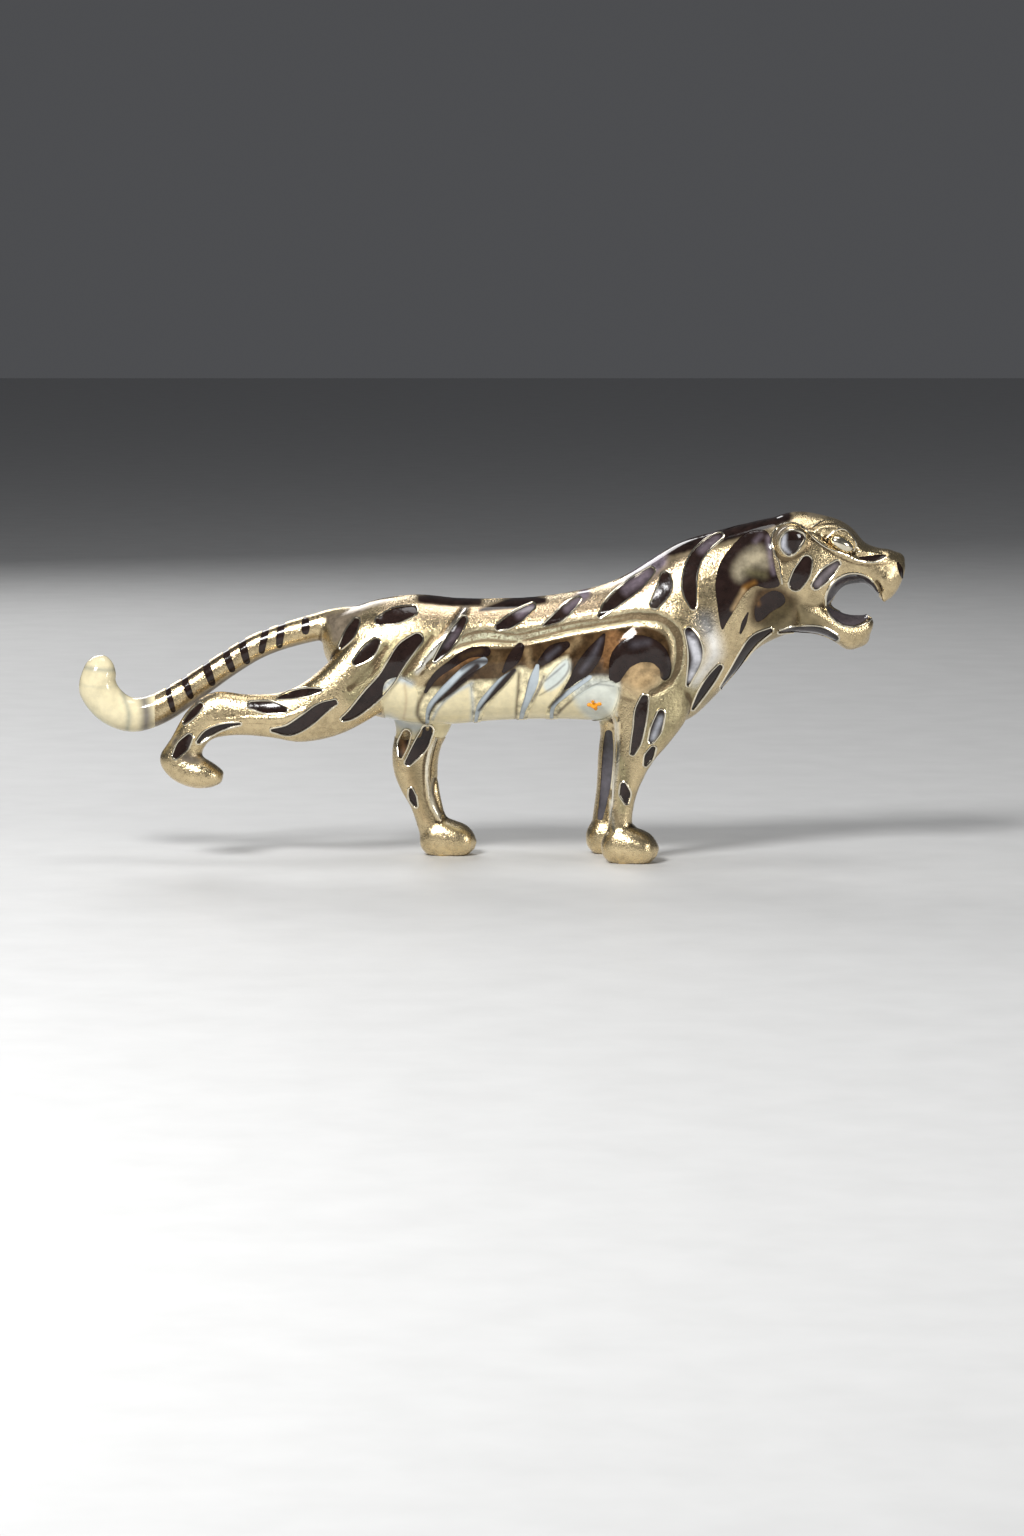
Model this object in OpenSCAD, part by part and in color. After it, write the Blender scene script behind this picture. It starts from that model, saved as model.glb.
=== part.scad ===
// Hood ornament: a striding tiger of pegged and brazed castings, with enamel set in its stripe cells.
// The tail is towards -X and the nose towards +X, the tiger's left side is +Y, and its soles stand on Z = 0.
// Every length is in millimetres.

/* [Casting] */
// Number of sides of a cast section
section_sides = 14; // [12:2:24]
// Steps from one rib of a cast form to the next
steps_per_rib = 1; // [1:1:2]
// Depth of the stripe cells under the cast surface
cell_depth = 1.1; // [0.9:0.1:1.5]
// Depth of the belly's seat under the cast surface
belly_depth = 1.6; // [1.2:0.1:2]

/* [Enamel] */
// Depth of the enamel's face under the cast surface
enamel_recess = 0.35; // [0.2:0.05:0.6]
// Gap between an enamel fill and the wall of its cell
enamel_gap = 0.03; // [0.01:0.01:0.08]

/* [Eyes] */
// Radius of the bead set in each eye socket
eye_r = 1.9; // [1.7:0.1:2.2]

/* [Fixings] */
// Wall radius of the tapped hole for a mounting screw
thread_r = 2.1; // [1.65:0.05:2.1]
// Outer radius of the threaded insert in a paw
insert_r = 3.3; // [2.9:0.1:3.4]
// Length of the threaded insert
insert_length = 6.5; // [5:0.5:6.5]
// Radius of the dowels that peg the castings together
dowel_r = 1.5; // [1:0.1:1.8]
// Length of the dowels
dowel_length = 11; // [8:1:12]
// Radial room around a dowel
dowel_clearance = 0.05; // [0.02:0.01:0.1]

/* [Hidden] */
$fn = 48;
FAR = 60;
// How far from the middle plane the side prisms start, and those over a haunch and over a front leg
PRISM_START = 1;
HAUNCH_START = 7;
FRONT_LEG_START = 8;
outline_steps = 1;
GOLD = [0.80, 0.70, 0.48];
BROWN = [0.13, 0.09, 0.09];
PALE_GREY = [0.68, 0.72, 0.74];
CREAM = [0.90, 0.87, 0.72];
AMBER = [0.90, 0.50, 0.08];
BRASS = [0.72, 0.56, 0.25];

SIDES = ["right", "left"];
SIDE_PARTS = [
    "eye", "ear_fill", "snout_stripes", "cheek_stripes", "neck_stripes", "shoulder_stripes",
    "chest_stripes", "shoulder_arch", "back_stripes", "flank_stripes", "belly_crests",
    "haunch_stripes", "front_leg_stripes", "front_leg_panel", "hind_leg_stripes", "front_leg",
    "hind_leg", "front_dowel", "hind_dowel", "front_insert"
];
BELLY_PANELS = ["belly_panel_1", "belly_panel_2", "belly_panel_3", "belly_panel_4", "belly_panel_5"];

// A rib is [x1, z1, x2, z2, half width, y]: an oval across the form, from point 1 to point 2 in the XZ
// plane and half width to each side of y. Point 1 is on the left of the way the form runs, seen from -Y.
TRUNK = [
    [-41, 57, -40, 49, 3, 0], [-38, 58.6, -37.5, 44, 7, 0], [-33.5, 60.2, -32.5, 36.5, 10.8, 0],
    [-27, 62.2, -27, 34, 12.8, 0], [-18, 63.4, -18, 32.3, 12.9, 0], [-9, 62.6, -9, 32.1, 12.2, 0],
    [0, 62.4, 0, 32.9, 11.8, 0], [10, 62.8, 10, 33.3, 11.9, 0], [19, 64, 20, 33.2, 12.5, 0],
    [27, 65.8, 30, 32.6, 13.2, 0], [33, 68.6, 40, 31.8, 13.5, 0], [39, 72.4, 47.2, 33.4, 13, 0],
    [45, 75.9, 52.8, 38.2, 11.9, 0], [51, 77.8, 57.8, 43.8, 10.8, 0], [57.5, 79.6, 63.2, 50, 9.8, 0],
    [64, 81.2, 69, 53.2, 9.5, 0], [69.6, 82.2, 73.6, 54.6, 9.6, 0]
];
SKULL = [
    [66.5, 81.4, 70.5, 54.2, 9.2, 0], [70.5, 82.9, 74.5, 54.7, 9.9, 0], [74.5, 83, 77.5, 55.6, 9.9, 0],
    [79, 82.3, 80.5, 60.5, 9, 0], [83.5, 80.9, 84, 65, 7.9, 0], [86.6, 78.6, 86.8, 65.6, 6.9, 0],
    [89.2, 75.7, 89.2, 65.8, 6, 0], [92.5, 74.5, 92, 63.4, 5.5, 0], [95.8, 74, 94.2, 61.6, 4.9, 0],
    [98.2, 72, 96.8, 64, 3.6, 0], [99, 70, 98.4, 67.4, 1.8, 0]
];
JAW = [
    [73, 66, 73, 54.2, 9.3, 0], [77.5, 64, 77.5, 53.9, 8.4, 0], [81.5, 60.5, 81.5, 52.4, 7, 0],
    [85, 58.8, 85, 50.1, 5.8, 0], [88, 58.6, 88, 50.7, 4.8, 0], [90.4, 58.4, 90.2, 53.2, 3.6, 0],
    [91.4, 56.9, 91.2, 55.4, 1.8, 0]
];
RIGHT_HIND_LEG = [
    [-24, 37, -27, 60, 6, -6.6], [-33, 31.8, -33.5, 53.5, 6, -7.4], [-39.5, 29.5, -38.6, 48, 5.4, -8.2],
    [-46, 28.7, -44, 43.4, 4.7, -8.5], [-52, 29.7, -50, 40.6, 4.1, -8.4], [-58.5, 30.3, -58, 40.1, 3.8, -8.2],
    [-64, 30, -66, 40.7, 3.7, -7.9], [-67, 29, -72, 36.8, 3.6, -7.8], [-68.6, 27, -76.4, 29.5, 3.6, -7.8],
    [-69, 25.6, -79.2, 24.6, 3.9, -7.9], [-68.6, 25, -76.5, 20.1, 4.5, -8], [-67.6, 24.4, -71.5, 17.8, 5, -8],
    [-65.6, 23.1, -67, 17.8, 4.6, -8], [-63.8, 21.6, -64.2, 19, 2.6, -8]
];
LEFT_HIND_LEG = [
    [-7, 47, -29, 49, 5.6, 6.4], [-7.6, 38, -27, 39, 5.6, 6.6], [-9.6, 31, -23.4, 31.4, 5.1, 6.4],
    [-12.2, 26, -24, 25.4, 4.5, 6.1], [-13, 20.5, -23.7, 20.4, 4, 5.9], [-12.6, 16, -21.9, 15.6, 3.6, 5.8],
    [-11.8, 12, -19.4, 11.2, 3.4, 5.8], [-10.6, 8, -17.6, 5.6, 3.6, 5.8]
];
RIGHT_FRONT_LEG = [
    [46.5, 44, 27, 48, 5.4, -7.6], [47, 35.6, 28.4, 36, 5.3, -8.2], [42.6, 28.8, 29.6, 30, 4.8, -8.6],
    [38.8, 24.4, 29.1, 24.8, 4.3, -8.8], [36, 19.6, 28.9, 19.8, 3.9, -8.9], [34.3, 15, 28.6, 15, 3.5, -8.9],
    [33.6, 11, 28, 10.6, 3.4, -8.9], [33.6, 8, 27.4, 5.6, 3.6, -8.9]
];
// The left front leg is the right one mirrored and set back.
LEFT_FRONT_SET_BACK = 3.4;
// A paw, with its heel at X = 0 and its middle at Y = 0. Its lowest stretch is cut flat at Z = 0.
PAW = [
    [0, 5, 0.1, 2, 2, 0], [1.8, 8, 1.8, 0, 4.1, 0], [5, 9.2, 5, -0.9, 5, 0], [8.6, 8.2, 8.6, -0.9, 5.4, 0],
    [11.6, 6.9, 11.6, -0.3, 4.9, 0], [13.2, 4.9, 13.1, 2.4, 2.6, 0]
];
PAWS = [[26.2, -8.9], [22.8, 8.9], [-17.4, 5.8]];
PAW_TURN = [-4, 4, 3];
// How far a paw's mounting thread lies in front of its heel
THREAD_FROM_HEEL = 5.9;
// Width and depth of the chamfer round an insert at the sole
POCKET_CHAMFER = 0.4;
// The tail is a round tube through [x, z, radius], and its last stretch is the tip.
TAIL = [
    [-30, 57.2, 3.6], [-37, 56.6, 3.5], [-43, 55.2, 3.25], [-49.5, 53.4, 3.1], [-56.5, 50.7, 3.1],
    [-64.2, 46, 3.2], [-72, 40.6, 3.45], [-79.6, 36, 3.8], [-86, 34.4, 4.15], [-91.2, 36.6, 4.45],
    [-94.4, 41, 4.6], [-93.8, 45, 4], [-93.2, 47.6, 2.6], [-92.9, 48.8, 0.8]
];
TAIL_TIP_X = -80.5;
// The tail and the right hind leg leave the trunk at one plane, and the other legs at a level one.
REAR_JOINT_X = -40;
LEG_JOINT_Z = 31.4;
LEG_JOINT_REAR_X = -30;
// The head leaves the neck at a leaning plane through this point of the XZ plane.
HEAD_JOINT = [67.2, 67.5];
HEAD_JOINT_LEAN = 10;
EAR_AT = [71.2, 76.6];
EYE_AT = [83.3, 75.8];
MOUTH_AT = [86.9, 62.2];

// A stripe is a list of [x, z, half width] along its middle, seen from the side.
SNOUT = [
    [[86.9, 72.4, 0.3], [89.4, 72.2, 0.75], [92, 72.4, 0.75], [94, 72.9, 0.4]],
    [[96.5, 71.2, 0.35], [97.3, 69.4, 0.7], [97.9, 67.2, 0.35]]
];
CHEEK = [
    [[74.8, 72.6, 1.2], [73.7, 69.6, 1.8], [72.4, 66.7, 1.3]],
    [[82.6, 71.7, 0.6], [79.8, 69.2, 1.35], [76.8, 66, 0.8]],
    [[69, 54.9, 0.3], [73, 55.5, 0.8], [78, 55.2, 1.1], [82, 53.4, 0.8]]
];
NECK = [
    [[62.2, 78.4, 1.2], [58.8, 74, 2.8], [56.6, 68, 3], [55.2, 62, 2], [54.9, 56.2, 0.5]],
    [[65.6, 78.4, 1.2], [64.6, 73, 1.9], [62.4, 67.6, 1.4]],
    [[67.2, 62.8, 1.6], [65, 61, 2.1], [63.4, 57.8, 0.7]],
    [[61.8, 59.6, 0.3], [60.2, 57.2, 0.6], [59.4, 55.2, 0.3]]
];
SHOULDER = [
    [[53.6, 77, 0.7], [49, 72.4, 1.4], [47.1, 68, 1.8], [47.2, 64, 1.5], [47.6, 61, 0.7]],
    [[41.2, 68.4, 1.2], [40.6, 65.2, 1.9], [38.5, 61.7, 1]],
    [[46.2, 55.6, 0.9], [47.7, 51.4, 1.7], [47.9, 47.8, 1.6], [46.2, 42.4, 0.4]]
];
CHEST = [
    [[53.8, 46.5, 0.5], [51.8, 43.6, 1], [49.9, 40.9, 0.8], [48.4, 38.6, 0.4]],
    [[65.6, 55.4, 0.6], [62.6, 53.4, 1.3], [60.2, 50.2, 1.2], [58.2, 46.4, 1], [55.4, 42, 0.5]]
];
SHOULDER_ARCH = [
    [[29, 44.6, 0.9], [31.2, 48.6, 2.4], [35.2, 51.2, 3], [39.2, 49.8, 2.1], [41.2, 46.6, 1.5], [41, 44.4, 0.8]]
];
BACK = [
    [[25.7, 59, 0.4], [27.8, 61.2, 1.2], [30.6, 63.6, 1.5], [34.6, 66.6, 1.5], [38, 69.6, 0.8]],
    [[12.4, 56.6, 0.3], [15.6, 58.3, 1], [18.3, 60.6, 1.1], [20.6, 62.4, 0.6]],
    [[1.8, 56.2, 0.7], [4, 57.2, 1.2], [6.6, 58.8, 1.2], [9.4, 60.8, 0.6]],
    [[-7, 58.2, 0.7], [-8.6, 55.4, 1.3], [-11.2, 51.6, 1.2], [-13.9, 48.6, 0.4]]
];
FLANK = [
    [[27, 54.8, 0.4], [25.4, 51.4, 1.5], [23.4, 47.8, 1.9], [20.6, 44.2, 1.2], [18, 41.6, 0.3]],
    [[17.4, 52.2, 0.9], [14.6, 50.2, 1.6], [12.2, 47.4, 0.8]],
    [[6.8, 51.7, 1.1], [5.2, 48.8, 1.5], [3, 45.9, 0.6]],
    [[-1.4, 51, 1], [-5.6, 50.8, 1.1], [-10.6, 47.6, 1], [-14.8, 44, 0.9], [-16.6, 40, 0.5]]
];
CRESTS = [
    [[-2.6, 48.2, 0.9], [-6, 46.8, 1.3], [-9.4, 44.6, 1], [-12.6, 41.4, 0.8], [-15.4, 37.4, 0.6], [-16.6, 31, 0.4]],
    [[3.4, 44.9, 0.3], [1.4, 43, 0.8], [-1.4, 40, 0.7], [-3.9, 36.8, 0.5], [-4.9, 31, 0.3]],
    [[10.4, 47, 0.4], [9.8, 43.6, 1], [8, 40, 0.8], [6.4, 36.4, 0.6], [6, 31, 0.4]],
    [[23.6, 44.6, 0.4], [21.4, 43, 0.6], [18.4, 40.8, 0.6], [15.9, 38, 0.6], [14.3, 31, 0.4]]
];
RIGHT_HAUNCH = [
    [[-27.2, 57.6, 0.7], [-23, 58.8, 1.8], [-18.6, 60.3, 1.2]],
    [[-17.8, 53.8, 1.1], [-20.8, 51.4, 2], [-23, 47.8, 2], [-26.2, 43.6, 1.8], [-29.4, 40, 1.6], [-35.2, 35, 0.6]],
    [[-27.3, 53, 1.1], [-29.8, 50.2, 1.7], [-32.6, 47.5, 0.6]],
    [[-32, 57.8, 0.8], [-33.6, 54.8, 1.2], [-35.7, 51.6, 0.5]]
];
LEFT_HAUNCH = [
    [[-27.2, 57.6, 0.7], [-23, 58.8, 1.8], [-18.6, 60.3, 1.2]],
    [[-17.8, 53.8, 1.1], [-20.4, 51.2, 1.9], [-22, 47.6, 1.9], [-23, 43.6, 1.2]],
    [[-27.3, 53, 1.1], [-29.4, 50.2, 1.6], [-31, 46.5, 0.7]],
    [[-27, 44.6, 0.6], [-28.6, 41.6, 1.1], [-29, 38.4, 0.6]],
    [[-32, 57.8, 0.8], [-33.6, 54.8, 1.2], [-35.7, 51.6, 0.5]]
];
FRONT_LEG = [
    [[36.4, 39.6, 0.9], [35.7, 37, 1.4], [34.8, 34, 1.2]],
    [[34.8, 30.4, 1.2], [34.2, 28.2, 1], [33.6, 26.2, 0.5]],
    [[39.7, 36.4, 1.1], [39, 34, 1.4], [38.6, 32.6, 0.8]],
    [[38.2, 27.9, 0.9], [37.3, 25.8, 1], [36.4, 23.8, 0.4]],
    [[31.4, 18.6, 0.8], [31.8, 16.6, 1.3], [32.1, 14.8, 0.6]]
];
// The long panel on the inner face of a front leg
FRONT_LEG_PANEL = [[[31.6, 29.4, 0.9], [31.4, 24.6, 1.3], [30.8, 16.4, 1.2], [29.6, 9, 0.7]]];
RIGHT_HIND_STRIPES = [
    [[-50.5, 39.4, 0.3], [-47, 40.2, 0.8], [-44, 41, 1]],
    [[-57.4, 37.8, 0.9], [-52.8, 37.2, 1.5], [-48.6, 37.6, 0.8]],
    [[-41.4, 36.8, 1.2], [-45.2, 33.8, 1.7], [-49.2, 32, 1.2], [-52.2, 32, 0.4]],
    [[-59.8, 33.4, 0.4], [-64, 32.6, 0.9], [-67.4, 30.8, 1.1], [-69.4, 28.2, 0.6]],
    [[-69, 37.6, 0.6], [-71, 35.6, 0.8], [-72.8, 33.6, 0.4]],
    [[-71.8, 30.6, 0.8], [-73.6, 28.4, 1.5], [-75.4, 26, 0.8]]
];
LEFT_HIND_STRIPES = [
    [[-14.6, 29.8, 1.2], [-17, 27, 1.5], [-19.4, 24.4, 0.9]],
    [[-20.6, 30, 0.7], [-21.8, 27.4, 0.8], [-22, 25, 0.4]],
    [[-19.8, 18.6, 0.7], [-19, 16.6, 1], [-17.8, 14.6, 0.4]],
    [[-14.4, 19.4, 0.3], [-14, 16, 0.6], [-13, 12.6, 0.3]]
];
TAIL_BARS = [
    [[-44.4, 56.6, 1], [-44.4, 55.2, 0.9]],
    [[-50, 57.4, 0.8], [-50.4, 54.4, 1], [-50.6, 51.6, 0.7]],
    [[-53.9, 56, 0.7], [-54.4, 53, 1], [-54.8, 50.2, 0.7]],
    [[-59.8, 53.2, 0.9], [-59.3, 50.2, 1], [-58.7, 47.8, 0.7]],
    [[-63.8, 50.4, 0.8], [-63, 48, 1], [-62.2, 46, 0.7]],
    [[-68.4, 47.4, 0.8], [-67.6, 44.8, 1.1], [-67.2, 42.8, 0.8]],
    [[-73.6, 43.8, 0.7], [-72.9, 41.4, 0.9], [-72.2, 39.6, 0.6]],
    [[-77.2, 41.2, 0.5], [-76.6, 38.6, 0.7], [-76.3, 36.2, 0.5]]
];
EAR_FILL = [[72.7, 77.6, 1.9], [71.6, 76.6, 2.3], [70.7, 74.6, 1.2]];
// The spine stripes are seen from above, as [x, y, half width].
SPINE = [
    [[-15.6, -1.4, 0.5], [-11, 0.2, 1.3], [-5.6, 1.4, 0.5]],
    [[-2.4, -2.2, 0.4], [3, -0.6, 1.2], [9.6, 1.8, 0.4]],
    [[14, 2, 0.4], [19, 0.4, 1.2], [24.6, -1.6, 0.4]],
    [[-30.6, 1.6, 0.4], [-26.6, 0, 1.2], [-21, -1.4, 0.4]],
    [[29.4, -1.8, 0.4], [33.6, 0.2, 1.3], [38.6, 2, 0.4]],
    [[43.6, 1.6, 0.4], [48, 0, 1.2], [52.4, -1.6, 0.4]],
    [[56.2, -1.6, 0.4], [60, 0.2, 1.2], [63.4, 1.6, 0.4]]
];
// The belly panels wrap under the trunk from one flank to the other. Each is [x, z] round its side view.
BELLY = [
    [[-25.8, 41.6], [-23, 44.4], [-20.4, 43.6], [-18, 41], [-18.6, 36], [-18, 29], [-24.4, 29], [-25.6, 36]],
    [[-5.2, 43.2], [-9, 40.6], [-12.2, 37.8], [-14.2, 34.6], [-14.4, 29], [-5.6, 29], [-5.4, 36]],
    [[6.4, 46.2], [3.9, 43.4], [0.6, 39.8], [-2.2, 36.2], [-3.2, 33], [-3.4, 29], [4.6, 29], [5, 36], [6.4, 41]],
    [[17.8, 49.6], [14.6, 46], [12, 42.6], [9.2, 38.6], [7.8, 35], [7.4, 29], [13.2, 29], [13.4, 35],
     [15.4, 39.2], [17, 42.4], [18.8, 46.6]],
    [[15.6, 29], [16.4, 34.8], [18.4, 38.2], [21.7, 40.6], [25, 42.4], [28, 43.4], [29.6, 41.2], [29, 37.4],
     [26.8, 34.6], [22.4, 33.4], [21.4, 29]]
];
AMBER_SPOT = [[23.8, 38.2, 0.7], [24.8, 38.6, 1.2], [26.2, 39, 0.5]];

// A point on a smooth curve through b and c, t of the way from b, with a before and d after them.
function between(a, b, c, d, t) =
    (2 * b + (c - a) * t + (2 * a - 5 * b + 4 * c - d) * t * t + (3 * b - a - 3 * c + d) * t * t * t) / 2;
// A smooth run through the given points, with a number of steps between each two.
function run(points, steps) = let (last = len(points) - 1) concat(
    [for (i = [0 : last - 1], s = [0 : steps - 1])
        between(points[max(i - 1, 0)], points[i], points[i + 1], points[min(i + 2, last)], s / steps)],
    [points[last]]
);
// A smooth closed loop through the given points.
function loop(points, steps) = let (n = len(points)) [
    for (i = [0 : n - 1], s = [0 : steps - 1])
        between(points[(i + n - 1) % n], points[i], points[(i + 1) % n], points[(i + 2) % n], s / steps)
];
// A rib drawn in by a depth all round.
function drawn_in(rib, depth) =
    let (
        span = [rib[0] - rib[2], rib[1] - rib[3]],
        shift = span / norm(span) * min(depth, norm(span) / 2 - 0.05)
    )
    [rib[0] - shift[0], rib[1] - shift[1], rib[2] + shift[0], rib[3] + shift[1], max(rib[4] - depth, 0.05), rib[5]];
// The ring of points that a rib stands for, a little fuller than an ellipse.
function ring(rib) = [
    for (i = [0 : section_sides - 1])
        let (
            turn = 360 * i / section_sides,
            up = full(cos(turn)),
            out = full(sin(turn))
        )
        [
            (rib[0] + rib[2]) / 2 + (rib[0] - rib[2]) / 2 * up,
            rib[5] + rib[4] * out,
            (rib[1] + rib[3]) / 2 + (rib[1] - rib[3]) / 2 * up
        ]
];
function full(c) = sign(c) * pow(abs(c), 0.92);
// The ribs of a round tube through [x, z, radius] points.
function tube_ribs(path) = [
    for (i = [0 : len(path) - 1])
        let (
            ahead = path[min(i + 1, len(path) - 1)],
            behind = path[max(i - 1, 0)],
            way = [ahead[0] - behind[0], ahead[1] - behind[1]],
            out = [-way[1], way[0]] / norm(way) * path[i][2]
        )
        [path[i][0] + out[0], path[i][1] + out[1], path[i][0] - out[0], path[i][1] - out[1], path[i][2], 0]
];
// The outline of a stripe, wider by grow all round.
function outline(stripe, grow) =
    let (
        path = run(stripe, outline_steps),
        last = len(path) - 1,
        ways = [
            for (i = [0 : last])
                let (w = path[min(i + 1, last)] - path[max(i - 1, 0)]) [w[0], w[1]] / norm([w[0], w[1]])
        ],
        one_side = [for (i = [0 : last]) edge_point(path[i], [-ways[i][1], ways[i][0]], grow)],
        other_side = [for (i = [last : -1 : 0]) edge_point(path[i], [ways[i][1], -ways[i][0]], grow)],
        tip = edge_point(path[last], ways[last], grow),
        heel = edge_point(path[0], -ways[0], grow)
    )
    concat(one_side, [tip], other_side, [heel]);
function edge_point(p, way, grow) = [p[0], p[1]] + way * (p[2] + grow);

// A closed skin over a run of ribs.
module loft(ribs, depth = 0) {
    rings = [for (rib = run(ribs, steps_per_rib)) ring(drawn_in(rib, depth))];
    n = section_sides;
    last = len(rings) - 1;
    walls = [
        for (i = [0 : last - 1], j = [0 : n - 1])
            each [
                [i * n + j, i * n + (j + 1) % n, (i + 1) * n + j],
                [i * n + (j + 1) % n, (i + 1) * n + (j + 1) % n, (i + 1) * n + j]
            ]
    ];
    start = [for (j = [n - 1 : -1 : 0]) j];
    end = [for (j = [0 : n - 1]) last * n + j];
    polyhedron(points = [for (r = rings) each r], faces = concat(walls, [start, end]));
}

module mirrored(side) {
    if (side == "left") mirror([0, 1, 0]) children();
    else children();
}

module paw(i, depth = 0) {
    translate([PAWS[i][0], PAWS[i][1], 0])
        rotate([0, 0, PAW_TURN[i]])
            loft(PAW, depth);
}

module ear(side, depth = 0) {
    mirrored(side)
        translate([EAR_AT[0], -8.7, EAR_AT[1]])
            rotate([8, 0, 14])
                scale([4.4 - depth, 2.4 - depth, 4.3 - depth])
                    sphere(1, $fn = 16);
}

// Everything cast but the tail, drawn in by a depth.
module body_form(depth = 0) {
    loft(TRUNK, depth);
    loft(SKULL, depth);
    loft(JAW, depth);
    for (side = SIDES) ear(side, depth);
    loft(RIGHT_HIND_LEG, depth);
    loft(LEFT_HIND_LEG, depth);
    loft(RIGHT_FRONT_LEG, depth);
    translate([-LEFT_FRONT_SET_BACK, 0, 0]) mirror([0, 1, 0]) loft(RIGHT_FRONT_LEG, depth);
    for (i = [0 : 2]) paw(i, depth);
}

module tail_form(depth = 0) {
    loft(tube_ribs(TAIL), depth);
}

// Keeps what lies on one side of the head's leaning joint plane.
module past_head_joint(ahead) {
    translate([HEAD_JOINT[0], 0, HEAD_JOINT[1]])
        rotate([0, -HEAD_JOINT_LEAN, 0])
            translate([ahead ? 0 : -2 * FAR, -FAR, -FAR])
                cube([2 * FAR, 2 * FAR, 2 * FAR]);
}

module block(low, high) {
    translate(low) cube(high - low);
}

// Prisms over side-view outlines, through one flank or through both.
module side_prisms(stripes, side, grow = 0, start = PRISM_START, reach = FAR) {
    mirrored(side)
        rotate([90, 0, 0])
            for (stripe = stripes)
                translate([0, 0, start]) linear_extrude(reach) polygon(outline(stripe, grow));
}

module wrap_prism(points, grow = 0) {
    rotate([90, 0, 0])
        linear_extrude(2 * FAR, center = true)
            offset(delta = grow) polygon(points);
}

module spine_prisms(grow = 0) {
    translate([0, 0, 55])
        for (stripe = SPINE) linear_extrude(FAR) polygon(outline(stripe, grow));
}

// The open mouth, a C from cheek to cheek that flares towards both cheeks.
module mouth(grow = 0) {
    for (side = SIDES)
        mirrored(side)
            translate([MOUTH_AT[0], 0, MOUTH_AT[1]])
                rotate([90, 0, 0]) {
                    linear_extrude(9, scale = 1.42)
                        scale([5 + grow, 3.8 + grow]) circle(1, $fn = 28);
                    linear_extrude(9)
                        polygon([[0, -2.9 - grow], [2.2, -3.4 - grow], [9, -5], [9, 1.5], [4.4 + grow, 1.5]]);
                }
}

// Every stripe of a flank that both sides have.
FLANK_CELLS = concat(
    SNOUT, CHEEK, NECK, SHOULDER, CHEST, SHOULDER_ARCH, BACK, FLANK, CRESTS
);
function on_front_leg(stripes, side) = side == "right" ? stripes :
    [for (s = stripes) [for (p = s) [p[0] - LEFT_FRONT_SET_BACK, p[1], p[2]]]];
function haunch_cells(side) = side == "right" ? RIGHT_HAUNCH : LEFT_HAUNCH;
// The left hind leg has its stripes on both faces, and the trailing right one on its outer face.
function hind_leg_start(side) = side == "right" ? 7 : 0;
function hind_leg_cells(side) = side == "right" ? RIGHT_HIND_STRIPES : LEFT_HIND_STRIPES;

// The cells cut in the castings: all the prisms, down to a depth under the surface.
module cells() {
    difference() {
        union() {
            for (side = SIDES) {
                side_prisms(FLANK_CELLS, side);
                side_prisms(haunch_cells(side), side, 0, HAUNCH_START);
                side_prisms(on_front_leg(FRONT_LEG, side), side, 0, FRONT_LEG_START);
                side_prisms(on_front_leg(FRONT_LEG_PANEL, side), side, 0, 0, FRONT_LEG_START);
                side_prisms(hind_leg_cells(side), side, 0, hind_leg_start(side));
                ear_prism(side);
            }
            spine_prisms();
        }
        body_form(cell_depth);
    }
    difference() {
        for (panel = BELLY) wrap_prism(panel);
        body_form(belly_depth);
    }
}

module ear_prism(side, grow = 0) {
    intersection() {
        side_prisms([EAR_FILL], side, grow);
        mirrored(side) block([60, -FAR, 60], [80, -8, 90]);
    }
}

module eye(side) {
    mirrored(side)
        translate([EYE_AT[0], -7.3, EYE_AT[1]])
            sphere(eye_r);
}

module dowel(at, way, grow = 0) {
    translate(at)
        rotate(way)
            cylinder(r = dowel_r + grow, h = dowel_length + 2 * grow, center = true);
}

module insert_at(i, r, length, inner_r) {
    translate([PAWS[i][0], PAWS[i][1], 0])
        rotate([0, 0, PAW_TURN[i]])
            translate([THREAD_FROM_HEEL, 0, 0])
                cylinder(r1 = r, r2 = is_undef(inner_r) ? r : inner_r, h = length);
}

// The space for an insert, with a chamfer at the sole to lead it in.
module insert_pocket(i) {
    insert_at(i, insert_r, insert_length);
    insert_at(i, insert_r + POCKET_CHAMFER, POCKET_CHAMFER, insert_r);
}

module head_dowel(grow = 0) {
    dowel([HEAD_JOINT[0], 0, HEAD_JOINT[1]], [0, 90 - HEAD_JOINT_LEAN, 0], grow);
}

module tail_dowel(grow = 0) {
    dowel([REAR_JOINT_X, 0, 55.9], [0, 78, 0], grow);
}

module front_dowel(side, grow = 0) {
    dowel([side == "right" ? 36.4 : 33, side == "right" ? -8.5 : 8.5, LEG_JOINT_Z], [0, 0, 0], grow);
}

module hind_dowel(side, grow = 0) {
    if (side == "right") dowel([REAR_JOINT_X, -8, 38.6], [0, 76, 0], grow);
    else dowel([-16.6, 6.4, LEG_JOINT_Z], [0, 0, 0], grow);
}

module all_dowels(grow = 0) {
    head_dowel(grow);
    tail_dowel(grow);
    for (side = SIDES) {
        front_dowel(side, grow);
        hind_dowel(side, grow);
    }
}

// A resize by nothing keeps a cast surface and its cells as the one mesh that they are.
module as_cast() {
    resize([0, 0, 0]) children();
}

module above_floor() {
    block([-2 * FAR, -FAR, 0], [2 * FAR, FAR, 2 * FAR]);
}

module trunk() {
    color(GOLD)
        difference() {
            as_cast()
                difference() {
                    body_form();
                    past_head_joint(true);
                    block([-2 * FAR, -FAR, -1], [REAR_JOINT_X, FAR, 2 * FAR]);
                    block([LEG_JOINT_REAR_X, -FAR, -1], [2 * FAR, FAR, LEG_JOINT_Z]);
                    cells();
                }
            all_dowels(dowel_clearance);
        }
}

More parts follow.
